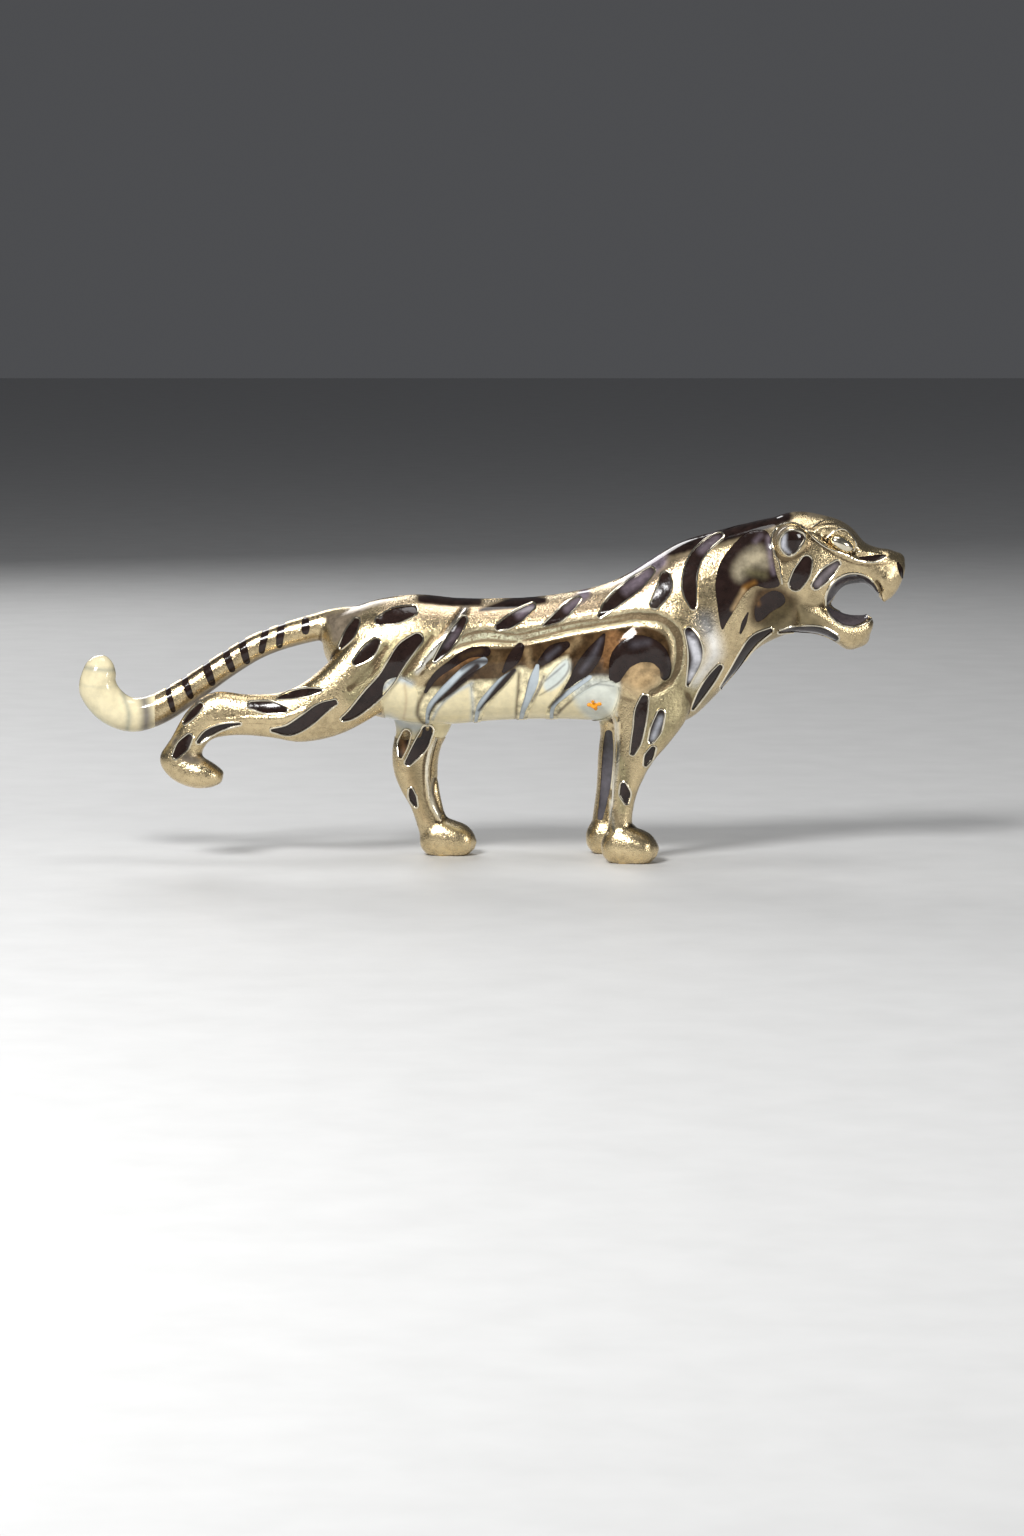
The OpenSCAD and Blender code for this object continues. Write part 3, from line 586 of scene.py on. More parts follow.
RELIEFS = (
    # The channel along the flank, over the shoulder and down behind the chest
    Relief(Line(((-15, 48, 1), (-12, 50.6, 1.3), (-7, 53.2, 1.6), (-1, 54.4, 1.7), (6, 53.8, 1.5),
                 (13, 55.4, 1.4), (20, 57, 1.3), (28, 58.2, 1.2), (35, 59.2, 1.1), (41, 58, 1.1),
                 (44.3, 54, 1.1), (44.4, 48, 1), (42.2, 43.4, 1), (38, 41, 0.7))), -0.6, 1.6),
    # The ridge in front of the haunch
    Relief(Line(((-6.2, 60.4, 0.4), (-11.5, 53.2, 0.7), (-17.6, 45.8, 0.4))), 0.55, 1.3),
    # Hollows of the haunch
    Relief(Line(((-25, 51.5, 0.8), (-29, 45.6, 1.6), (-33.4, 42, 1))), -0.35, 2),
    Relief(Line(((-14, 54, 0.6), (-18.6, 48, 1), (-22, 43, 0.6))), -0.3, 1.6),
    # Muscle over the shoulder and the base of the neck
    Relief(Patch(((38, 56), (47, 60), (53, 52), (50, 43), (43, 42))), 0.5, 5),
    Relief(Patch(((27, 44), (30, 52), (36, 56), (41, 52), (41, 44), (34, 40))), 0.7, 3),
    # Brow, eye socket, cheekbone and the stop of the nose
    Relief(Line(((77.2, 79, 0.5), (80, 79.4, 0.8), (83.6, 78.7, 0.8), (86.4, 76, 0.5))), 0.7, 1.2),
    Relief(Line(((79.6, 77.2, 0.8), (83, 75.9, 1.6), (86, 74, 0.9))), -0.9, 1.4),
    Relief(Line(((75.6, 78.8, 0.2), (79.8, 75.4, 0.3), (83.9, 73.1, 0.3), (87, 71.9, 0.3),
                 (90.4, 71.5, 0.3), (93.4, 71.8, 0.3), (94.8, 73, 0.2))), 0.5, 0.9),
    Relief(Line(((87.4, 73, 0.5), (90.4, 72.8, 0.7), (93.2, 73, 0.4))), -0.5, 0.9),
    Relief(Line(((91.6, 66.6, 0.4), (92.6, 64.6, 0.5))), -0.7, 0.9),
    # The bright tendons down the legs
    Relief(Line(((-13.4, 30, 0.4), (-15.4, 22, 0.4), (-15, 14, 0.4), (-12.6, 9, 0.3))), 0.5, 0.9),
    Relief(Line(((-13.4, 18.6, 0.3), (-13.6, 15, 0.4), (-12, 10.6, 0.3))), -0.5, 0.8),
    Relief(Line(((30.2, 34, 0.4), (29.8, 24, 0.4), (29.4, 14, 0.3))), 0.4, 0.9),
    Relief(Line(((36.6, 20, 0.3), (34.4, 12.6, 0.4))), 0.3, 0.9),
    Relief(Line(((-44, 36.8, 0.4), (-50, 34.6, 0.6), (-58, 34.6, 0.5), (-66, 34, 0.4))), 0.3, 1.2, Side.RIGHT),
)


@dataclass
class TigerForm:
    """The whole tiger as one solid skin, before the cells are cut and the castings parted."""

    voxel: float = 0.45
    blend_rounds: int = 16
    core_depth: float = 0.95
    glaze_depth: float = 0.16
    skin: bpy.types.Object | None = None
    cell_shell: bpy.types.Object | None = None
    core: bpy.types.Object | None = None

    def build(self) -> None:
        """Makes the skin, the core that the cells go down to, and the shell that enamel fills."""
        parts = [loft("form_trunk", TRUNK), loft("form_skull", SKULL), loft("form_jaw", JAW)]
        parts += [loft("form_rh", RIGHT_HIND_LEG), loft("form_lh", LEFT_HIND_LEG)]
        parts += [loft("form_rf", RIGHT_FRONT_LEG), self.left_front_leg(), loft("form_tail", tube_ribs(TAIL))]
        parts += self.paws() + self.ears() + self.face()
        self.skin = joined("skin", parts)
        modify(self.skin, "REMESH", mode="VOXEL", voxel_size=self.voxel * MM)
        modify(self.skin, "SMOOTH", factor=0.5, iterations=self.blend_rounds)
        self.emboss()
        self.core = self.offset_copy("core", -self.core_depth)
        self.cell_shell = self.offset_copy("cell_shell", -self.glaze_depth)
        carve(self.cell_shell, self.core, Cut.AWAY)
        LOG.info("skin has %d vertices", len(self.skin.data.vertices))

    def left_front_leg(self) -> bpy.types.Object:
        """The left front leg: the right one's ribs on the other side, set back."""
        back = LEFT_FRONT_SET_BACK
        ribs = [(x1 - back, z1, x2 - back, z2, w, -y) for x1, z1, x2, z2, w, y in RIGHT_FRONT_LEG]
        return loft("form_lf", ribs)

    def paws(self) -> list[bpy.types.Object]:
        """The three standing paws, each with four toes."""
        made = []
        for i, (x, y, turn) in enumerate(PAWS):
            c, s = math.cos(math.radians(turn)), math.sin(math.radians(turn))
            rings = []
            for ring in (ring_of(rib) for rib in smooth_line(PAW, STEPS_PER_RIB)):
                rings.append(np.column_stack([
                    x + ring[:, 0] * c - ring[:, 1] * s, y + ring[:, 0] * s + ring[:, 1] * c, ring[:, 2]]))
            made.append(swept(f"form_paw{i}", rings))
            for across in TOES_ACROSS:
                along = 12.2 - 0.16 * across**2
                at = (x + along * c - across * s, y + along * s + across * c, 3.1)
                made.append(ball(f"form_toe{i}", at, TOE_RADII, segments=16))
        return made

    def ears(self) -> list[bpy.types.Object]:
        """The two ears, flattened lumps set against the head."""
        return [
            ball(f"form_ear{side.value}", (71.3, 8.6 * side.value, 76.4), (4.3, 2.5, 4.2),
                 (-8 * side.value, 0, -14 * side.value)) for side in Side]

    def face(self) -> list[bpy.types.Object]:
        """Nose pad, chin, and a muzzle pad, a fang and a lower tooth to each side."""
        made = [ball("form_nose", (97, 0, 71.6), (1.9, 2.6, 1.9)),
                ball("form_chin", (87.6, 0, 53.2), (3, 3.4, 2.6))]
        for side in Side:
            made.append(ball("form_muzzle", (93.6, 2.6 * side.value, 67.4), (3.4, 2.9, 3.4)))
            made.append(ball("form_fang", (93.7, 3 * side.value, 63), (0.85, 0.85, 1.7), segments=16))
            made.append(ball("form_tooth", (89.4, 2.5 * side.value, 58.3), (0.8, 0.8, 1.3), segments=16))
        return made

    def emboss(self) -> None:
        """Raises the ridges, sinks the hollows and keeps the soles flat."""
        at, facing = places(self.skin), normals(self.skin)
        lift = sum(relief.lift(at, facing) for relief in RELIEFS)
        at += facing * lift[:, None]
        at[:, 2] = np.maximum(at[:, 2], 0.0)
        put(self.skin, at)
        modify(self.skin, "SMOOTH", factor=0.4, iterations=2)

    def offset_copy(self, name: str, depth: float) -> bpy.types.Object:
        """A copy of the skin moved out or in, with any folds that a deep move makes taken out.

        Args:
            name: The copy's name.
            depth: How far it moves outwards, in millimetres, less than zero for inwards.

        Returns:
            The copy.
        """
        twin = copy_of(self.skin, name)
        put(twin, places(twin) + normals(twin) * depth)
        if abs(depth) > self.voxel:
            modify(twin, "REMESH", mode="VOXEL", voxel_size=self.voxel * MM * 1.3)
        return twin


# ---------------------------------------------------------------- the stripe cells and their enamel


class Rim(Enum):
    """How a cell is edged: with a raised bright wire all round, or with none."""

    WIRE = "wire"
    NONE = "none"


@dataclass(frozen=True)
class Inlay:
    """The cells that one node of enamel fills on one side, cut from near to far across the tiger."""

    node: str
    shapes: Sequence[Shape]
    rim: Rim = Rim.WIRE
    near: float = 1.0
    far: float = 30.0


SNOUT = (
    Line(((87.5, 72.5, 0.2), (89.6, 72.3, 0.6), (92, 72.4, 0.65), (93.8, 72.8, 0.3))),
    Line(((96.9, 71, 0.35), (97.5, 69.4, 0.65), (98, 67.6, 0.3))),
)
CHEEK = (
    Line(((74.7, 71.9, 1.3), (73.6, 69.2, 1.9), (72.2, 66.6, 1.6))),
    Line(((82.1, 71.3, 0.7), (79.6, 68.9, 1.5), (77, 66.2, 1))),
    Line(((68.6, 54.7, 0.3), (73, 55.3, 0.9), (78, 55, 1.2), (81.8, 53.2, 1))),
)
NECK_PANEL = Patch((
    (54.6, 55.8), (53.5, 62), (53.1, 66.8), (54.2, 71.2), (57, 75.2), (61, 78.6), (65, 79), (66.4, 77),
    (66.9, 73), (67.6, 69), (68.4, 66.2), (65.6, 65.4), (62.6, 66), (60.2, 64.2), (58, 60.8), (56, 57.6)))
NECK = (
    NECK_PANEL,
    Patch(((62.9, 57.6), (62.5, 60.6), (64, 63.2), (66.8, 64.9), (69.2, 64), (69.6, 61.8), (66.4, 59.6), (64.4, 57.8))),
    Line(((60.9, 59.6, 0.2), (60, 57.2, 0.6), (59.2, 54.8, 0.3))),
)
SHOULDER = (
    Line(((54.6, 77.6, 0.6), (51.4, 75.6, 1.1), (48.6, 72.6, 1.4), (47.2, 68.8, 1.6), (47, 65, 1.6),
          (47.8, 61.4, 0.8))),
    Line(((41.3, 68.2, 1.1), (41, 65.4, 1.7), (38.8, 61.9, 1.1))),
    Line(((46.7, 55.6, 0.9), (48.1, 52.4, 1.6), (48.3, 48.6, 1.6), (46.6, 42.8, 0.4))),
)
CHEST = (
    Line(((54.3, 46.6, 0.7), (52.4, 44, 1.1), (50.2, 40.6, 1), (48, 36.6, 0.4))),
    Line(((66.4, 55.2, 0.6), (62.8, 53, 1.3), (60.4, 49.8, 1.2), (58, 45.8, 1), (55, 41.4, 0.5))),
)
SHOULDER_ARCH = (
    Line(((29.4, 44.8, 1.6), (31, 49, 2.9), (34.6, 51.4, 3.3), (38.9, 50.4, 2.6), (41.1, 47.4, 1.6), (41.2, 45, 1.2))),
)
BACK = (
    Line(((25.8, 59, 0.4), (27.8, 61.2, 1.2), (30.6, 63.6, 1.5), (34.6, 66.6, 1.5), (38, 69.4, 0.8))),
    Line(((12.6, 56.8, 0.3), (15.8, 58.6, 1.1), (18.4, 60.8, 1.2), (20.8, 62.6, 0.5))),
    Line(((1.8, 56.3, 0.8), (4, 57.3, 1.3), (6.6, 58.9, 1.3), (9.8, 61, 0.6))),
    Line(((-6.6, 58, 0.8), (-8.4, 55.2, 1.3), (-11, 51.4, 1.2), (-13.4, 48.4, 0.4))),
)
FLANK = (
    Line(((26.7, 54.6, 0.4), (24.7, 50.8, 1.8), (22, 46.9, 2), (19.2, 43.4, 1), (17.5, 41.7, 0.3))),
    Line(((17.8, 52.2, 0.9), (14.8, 50.6, 1.7), (12, 48.2, 1))),
    Line(((6.8, 51.6, 1.1), (5.2, 48.8, 1.5), (3, 45.9, 0.5))),
    Line(((-1.4, 50.6, 1.3), (-5.4, 50.2, 1.2), (-9.8, 47.4, 1), (-13.4, 44.6, 0.8), (-15.6, 41, 0.4))),
)
CRESTS = (
    Line(((-1.8, 48.4, 1), (-5.4, 46.4, 1.3), (-9.2, 43.4, 1), (-12.6, 40, 0.8), (-14.9, 36.6, 0.6),
          (-15.4, 30.8, 0.4))),
    Line(((5.6, 46.2, 0.3), (2.8, 43.8, 0.9), (-0.4, 40.4, 0.9), (-3, 37, 0.6), (-4, 30.8, 0.3))),
    Line(((10.9, 47.2, 0.5), (10, 43.6, 1.2), (8.8, 39.6, 0.9), (7.4, 35.6, 0.6), (6.8, 30.8, 0.4))),
    Line(((23.4, 44.6, 0.5), (20.8, 42.8, 0.7), (17.4, 40, 0.6), (14.6, 36.9, 0.5), (14.4, 30.8, 0.4))),
)
RIGHT_HAUNCH = (
    Line(((-26.6, 57.7, 0.9), (-22.8, 58.9, 1.7), (-18.8, 60, 1.2))),
    Line(((-17.6, 53.6, 1.4), (-20.5, 51, 2), (-22.8, 47.6, 1.9), (-25, 44, 1.9), (-28.8, 39.8, 1.9),
          (-32.8, 36, 1.2), (-35.2, 34.6, 0.5))),
    Line(((-27.4, 52.8, 1), (-29.4, 50.4, 1.6), (-32, 48.2, 0.8))),
    Line(((-32, 57.4, 0.8), (-33.6, 54.6, 1.2), (-35.7, 51.6, 0.5))),
)
LEFT_HAUNCH = (
    RIGHT_HAUNCH[0],
    Line(((-17.8, 53.8, 1.1), (-20.4, 51.2, 1.9), (-22, 47.6, 1.9), (-23, 43.6, 1.2))),
    RIGHT_HAUNCH[2],
    Line(((-27, 44.6, 0.6), (-28.6, 41.6, 1.1), (-29, 38.4, 0.6))),
    RIGHT_HAUNCH[3],
)
FRONT_LEG = (
    Line(((36.3, 39.6, 0.9), (35.5, 36.5, 1.4), (35.1, 33, 1.3), (34.4, 29.4, 1.1), (33.5, 26.6, 0.5))),
    Line(((40.2, 36, 0.9), (39.1, 32.4, 1.3), (37.9, 29.6, 0.7))),
    Line(((38.3, 27.5, 0.7), (37.4, 25.6, 1.1), (36.6, 23.8, 0.5))),
    Line(((31.4, 18.8, 0.7), (31.8, 16.7, 1.25), (32.1, 14.7, 0.5))),
)
FRONT_LEG_PANEL = (Line(((31.6, 29.4, 0.9), (31.4, 24.6, 1.3), (30.8, 16.4, 1.2), (29.6, 9, 0.7))),)
RIGHT_HIND = (
    Line(((-50.5, 39.5, 0.3), (-47, 40.3, 0.8), (-43.6, 41, 0.9), (-40.6, 41.5, 0.4))),
    Line(((-57, 37.8, 0.8), (-53, 37.3, 1.4), (-49.2, 36.8, 0.7))),
    Line(((-37.2, 38.7, 0.7), (-40.4, 37.1, 1.4), (-44, 34.3, 1.6), (-48, 32, 1.3), (-52, 31.9, 0.4))),
    Line(((-59.8, 33.4, 0.3), (-64, 32.6, 0.7), (-67.4, 31, 0.9), (-69.6, 29, 0.5))),
    Line(((-69, 37.6, 0.6), (-71, 35.6, 0.8), (-72.8, 33.6, 0.4))),
    Line(((-71.8, 30.2, 0.8), (-73.4, 28, 1.4), (-75, 25.8, 0.8))),
)
LEFT_HIND = (
    Line(((-15.4, 30.4, 1.4), (-17.4, 26.4, 1.6), (-20, 22.8, 0.8))),
    Line(((-20.4, 29.6, 1), (-21.4, 26.8, 1.2), (-21.9, 24.2, 0.5))),
    Line(((-19.4, 16, 0.5), (-19, 14.2, 0.9), (-18.2, 12.2, 0.4))),
)
EAR_FILL = (Patch(((74.3, 77.4), (72.6, 79), (70.2, 79), (68.6, 77.4), (68.6, 75.2), (70.2, 73.4), (72, 74))),)
TAIL_BARS = tuple(Line(((a, b, w), ((a + c) / 2, (b + d) / 2, w + 0.15), (c, d, w))) for a, b, c, d, w in (
    (-44.4, 57.2, -44.4, 54.8, 0.9), (-50, 57.6, -50.7, 51.4, 0.8), (-53.7, 56.4, -54.9, 50, 0.75),
    (-60, 53.6, -58.5, 47.6, 0.85), (-64, 51, -62, 45.6, 0.8), (-68.6, 47.8, -66.8, 42.4, 0.85),
    (-73.8, 44.2, -71.9, 39.2, 0.75), (-77.6, 41.6, -76.1, 35.8, 0.6)))
SPINE = (
    Line(((-15.6, -1.4, 0.5), (-11, 0.2, 1.3), (-5.6, 1.4, 0.5))),
    Line(((-2.4, -2.2, 0.4), (3, -0.6, 1.2), (9.6, 1.8, 0.4))),
    Line(((14, 2, 0.4), (19, 0.4, 1.2), (24.6, -1.6, 0.4))),
    Line(((-30.6, 1.6, 0.4), (-26.6, 0, 1.2), (-21, -1.4, 0.4))),
    Line(((29.4, -1.8, 0.4), (33.6, 0.2, 1.3), (38.6, 2, 0.4))),
    Line(((43.6, 1.6, 0.4), (48, 0, 1.2), (52.4, -1.6, 0.4))),
    Line(((56.2, -1.6, 0.4), (60, 0.2, 1.2), (63.4, 1.6, 0.4))),
)
BELLY = (
    Patch(((-25.6, 42.4), (-23.4, 44.4), (-20.6, 44), (-17.6, 41.4), (-17.4, 36), (-17, 29), (-24.4, 29), (-25.6, 36))),
    Patch(((-5.2, 43), (-8.6, 41), (-11.6, 38.2), (-13.4, 35), (-13.8, 29), (-5, 29), (-4.6, 36))),
    Patch(((6.2, 46), (4.4, 43.6), (1.2, 40.2), (-1.4, 36.8), (-2.4, 33.6), (-2.8, 29), (5.4, 29), (5.8, 36),
           (6.4, 41))),
    Patch(((17.6, 48.8), (14.6, 46.4), (12.2, 43), (10.2, 38.8), (8.8, 35), (8.4, 29), (13, 29), (13, 35),
           (14.8, 39), (16.8, 42), (18.6, 46))),
    Patch(((15.8, 29), (16, 34.6), (17.6, 38), (21, 40.8), (25, 43), (28.6, 43.8), (30.2, 41.2), (29.4, 37.4),
           (27.4, 34.2), (22.8, 32.4), (21.8, 29))),
)
# The petals of the amber flower: x, z, radius
AMBER_PETALS = ((24.4, 37.6, 0.95), (25.7, 37.9, 0.55), (23.3, 37.7, 0.6), (24.8, 36.7, 0.5), (24.1, 38.5, 0.45))


def set_back(shapes: Sequence[Line], side: Side) -> Sequence[Line]:
    """A front leg's shapes, moved back with the leg on the left side."""
    if side is Side.RIGHT:
        return shapes
    return tuple(Line(tuple((x - LEFT_FRONT_SET_BACK, z, w) for x, z, w in s.points)) for s in shapes)


def inlays_of(side: Side) -> list[Inlay]:
    """Every inlay of one side, named as the frame's nodes are.

    Args:
        side: The side.

    Returns:
        The side's inlays, from the nose to the tail and the ear last.
    """
    right = side is Side.RIGHT
    node = lambda part: f"{side.label}_{part}"
    return [
        Inlay(node("snout_stripes"), SNOUT, Rim.NONE),
        Inlay(node("cheek_stripes"), CHEEK),
        Inlay(node("neck_stripes"), NECK, Rim.NONE),
        Inlay(node("shoulder_stripes"), SHOULDER),
        Inlay(node("chest_stripes"), CHEST),
        Inlay(node("shoulder_arch"), SHOULDER_ARCH, Rim.NONE),
        Inlay(node("back_stripes"), BACK),
        Inlay(node("flank_stripes"), FLANK, Rim.NONE),
        Inlay(node("belly_crests"), CRESTS, Rim.NONE),
        Inlay(node("haunch_stripes"), RIGHT_HAUNCH if right else LEFT_HAUNCH, near=7.0),
        Inlay(node("front_leg_stripes"), set_back(FRONT_LEG, side), near=8.0),
        Inlay(node("front_leg_panel"), set_back(FRONT_LEG_PANEL, side), Rim.NONE, near=0.0, far=8.0),
        Inlay(node("hind_leg_stripes"), RIGHT_HIND if right else LEFT_HIND, near=7.0 if right else 0.0),
        Inlay(node("ear_fill"), EAR_FILL, near=8.0),
    ]


# The eye's place, as x and z, and its reach along its own three axes
EYE_AT = (83.2, 75.8)
EYE_RADII = (3.1, 1.7, 1.6)
# Bright lines on the head with the radius of each: the ear's edge down to the neck, the cheekbone and the eyelid
HEAD_WIRES = (
    (((69, 66.4), (68.4, 71.2), (67.2, 73.9), (66.6, 76.8), (67.5, 79.2), (69.5, 80.4), (71.5, 80.7), (73.7, 80),
      (75.5, 78.3)), 0.34),
    (((75.5, 78.3), (77.6, 76.4), (80, 74.9), (84.6, 73.1), (86.7, 72), (90.2, 71.4), (92.5, 71.7), (94, 72.4)), 0.24),
    (((79.8, 77.4), (81.7, 79), (83.5, 79.3), (85.2, 78.2), (86.6, 75.9), (86, 73.9)), 0.26),
    (((76, 79.7), (78.4, 81), (81, 81.4)), 0.22),
)


# ---------------------------------------------------------------- finishes

DARK: Colour = (0.020, 0.011, 0.009)
SLATE: Colour = (0.085, 0.078, 0.09)
LAVENDER: Colour = (0.20, 0.16, 0.19)
BROWN: Colour = (0.075, 0.042, 0.018)
COPPER: Colour = (0.34, 0.17, 0.07)
TAN: Colour = (0.56, 0.39, 0.2)
CREAM: Colour = (0.90, 0.79, 0.50)
MILK: Colour = (0.70, 0.75, 0.70)
BLUE_WHITE: Colour = (0.50, 0.56, 0.60)
AMBER: Colour = (0.85, 0.33, 0.02)
SMOKE: Colour = (0.22, 0.25, 0.22)
GOLD: Colour = (0.80, 0.64, 0.38)
GREEN_GOLD: Colour = (0.42, 0.39, 0.22)
PINK_GOLD: Colour = (0.80, 0.60, 0.42)
HIGHLIGHT_GOLD: Colour = (0.95, 0.88, 0.70)
OLIVE: Colour = (0.12, 0.095, 0.045)


@dataclass(frozen=True)
class Paint:
    """A colour laid over an area of a surface, and how far it is glaze and not bare metal."""

    shape: Shape
    colour: Colour
    glaze: float | None = None
    soft: float = 0.8
    strength: float = 1.0
    grain: float | None = None
    side: Side | None = None

    def weight(self, at: np.ndarray, facing: np.ndarray) -> np.ndarray:
        """How strongly each vertex takes the paint, from 0 to its strength."""
        w = self.strength * soft_step(0.5 - self.shape.reach(at[:, 0], at[:, 2]) / self.soft)
        return w * on_side(at, facing, self.side)


# How deep a vertex lies below its neighbours in a full crease, in millimetres, and how often that is evened out
CREASE_DEPTH = 0.06
CREASE_ROUNDS = 3


class Finish:
    """Lays the attributes that the materials read: the tint, and the shares of glaze, grain and hollow."""

    TINT = "tint"
    STATE = "state"

    @classmethod
    def lay(cls, piece: bpy.types.Object, base: Colour, glaze: float, grain: float, paints: Iterable[Paint]) -> None:
        """Colours a piece all over and then paint by paint.

        Args:
            piece: The piece to colour.
            base: Its colour where no paint lies.
            glaze: Its share of glaze there, 0 for bare metal.
            grain: Its share of grain there, 0 for polished.
            paints: The paints, the last on top.
        """
        at, facing = places(piece), normals(piece)
        tint = np.tile(np.array(base, float), (len(at), 1))
        state = np.tile(np.array((glaze, grain), float), (len(at), 1))
        for paint in paints:
            w = paint.weight(at, facing)[:, None]
            tint += (np.array(paint.colour) - tint) * w
            for column, value in enumerate((paint.glaze, paint.grain)):
                if value is not None:
                    state[:, column:column + 1] += (value - state[:, column:column + 1]) * w
        cls._store(piece, cls.TINT, np.column_stack([tint, np.ones(len(at))]))
        cls._store(piece, cls.STATE, np.column_stack([state, cls._hollow(piece, at, facing), np.ones(len(at))]))

    @staticmethod
    def _hollow(piece: bpy.types.Object, at: np.ndarray, facing: np.ndarray) -> np.ndarray:
        """How far each vertex lies in a hollow.

        Args:
            piece: The piece.
            at: Its vertices' places.
            facing: The ways that they face.

        Returns:
            1 at the bottom of a crease, 0.5 on the flat and 0 on a sharp ridge.
        """
        edges = np.empty(len(piece.data.edges) * 2, int)
        piece.data.edges.foreach_get("vertices", edges)
        a, b = edges.reshape(-1, 2).T
        count = np.maximum(np.bincount(a, minlength=len(at)) + np.bincount(b, minlength=len(at)), 1)

        def mean(values: np.ndarray) -> np.ndarray:
            """The mean of each vertex's neighbours."""
            total = np.bincount(a, values[b], len(at)) + np.bincount(b, values[a], len(at))
            return total / count

        middle = np.column_stack([mean(at[:, k]) for k in range(3)])
        bend = np.clip(np.einsum("ij,ij->i", middle - at, facing) / CREASE_DEPTH, -1, 1)
        for _ in range(CREASE_ROUNDS):
            bend = (bend + mean(bend)) / 2
        return np.clip(0.5 + bend, 0, 1)

    @staticmethod
    def _store(piece: bpy.types.Object, name: str, rows: np.ndarray) -> None:
        """Writes one colour attribute."""
        old = piece.data.attributes.get(name)
        if old:
            piece.data.attributes.remove(old)
        layer = piece.data.attributes.new(name, "FLOAT_COLOR", "POINT")
        layer.data.foreach_set("color", rows.ravel())


@dataclass(frozen=True)
class Material:
    """The parts that every material here is built with."""

    name: str

    def start(self) -> tuple[bpy.types.Material, bpy.types.NodeTree, bpy.types.Node]:
        """A new material with its shader and output in place."""
        material = bpy.data.materials.new(self.name)
        material.use_nodes = True
        tree = material.node_tree
        return material, tree, tree.nodes["Principled BSDF"]

    @staticmethod
    def add(tree: bpy.types.NodeTree, kind: str, inputs: dict | None = None, **settings: object) -> bpy.types.Node:
        """Adds a node.

        Args:
            tree: The node tree.
            kind: Blender's word for the node, without its ShaderNode.
            inputs: Values to set, or sockets to link, by the name or number of the input.
            settings: The node's own settings.

        Returns:
            The new node.
        """
        made = tree.nodes.new("ShaderNode" + kind)
        for key, value in settings.items():
            setattr(made, key, value)
        for key, value in (inputs or {}).items():
            if isinstance(value, bpy.types.NodeSocket):
                tree.links.new(value, made.inputs[key])
            else:
                made.inputs[key].default_value = value
        return made

    def noise(self, tree: bpy.types.NodeTree, scale: float, detail: float = 3.0,
              rough: float = 0.55) -> bpy.types.NodeSocket:
        """Noise on object coordinates.

        Args:
            tree: The node tree.
            scale: How many lumps there are in a metre.
            detail: How many finer layers lie on them.
            rough: How strong the finer layers are.

        Returns:
            The noise, from 0 to 1.
        """
        where = self.add(tree, "TexCoord")
        made = self.add(tree, "TexNoise", {
            "Vector": where.outputs["Object"], "Scale": scale, "Detail": detail, "Roughness": rough})
        return made.outputs["Fac"]

    def span(self, tree: bpy.types.NodeTree, value: bpy.types.NodeSocket, *ends: float) -> bpy.types.NodeSocket:
        """Maps a value from one span of numbers to another.

        Args:
            tree: The node tree.
            value: The value.
            ends: The span's low and high ends, and then the new span's.

        Returns:
            The value on the new span.
        """
        keys = ("From Min", "From Max", "To Min", "To Max")
        return self.add(tree, "MapRange", {"Value": value, **dict(zip(keys, ends))}).outputs["Result"]

    def math(self, tree: bpy.types.NodeTree, kind: str, *values: object) -> bpy.types.NodeSocket:
        """A sum on one or two values."""
        return self.add(tree, "Math", dict(enumerate(values)), operation=kind).outputs[0]

    def blend(self, tree: bpy.types.NodeTree, share: object, a: object, b: object,
              kind: str = "MIX") -> bpy.types.NodeSocket:
        """A mix of two colours.

        Args:
            tree: The node tree.
            share: How much of the second colour there is, from 0 to 1.
            a: The first colour.
            b: The second colour.
            kind: Blender's word for the way that they mix.

        Returns:
            The mixed colour.
        """
        made = self.add(tree, "Mix", {0: share, 6: a, 7: b}, data_type="RGBA", blend_type=kind)
        return made.outputs[2]


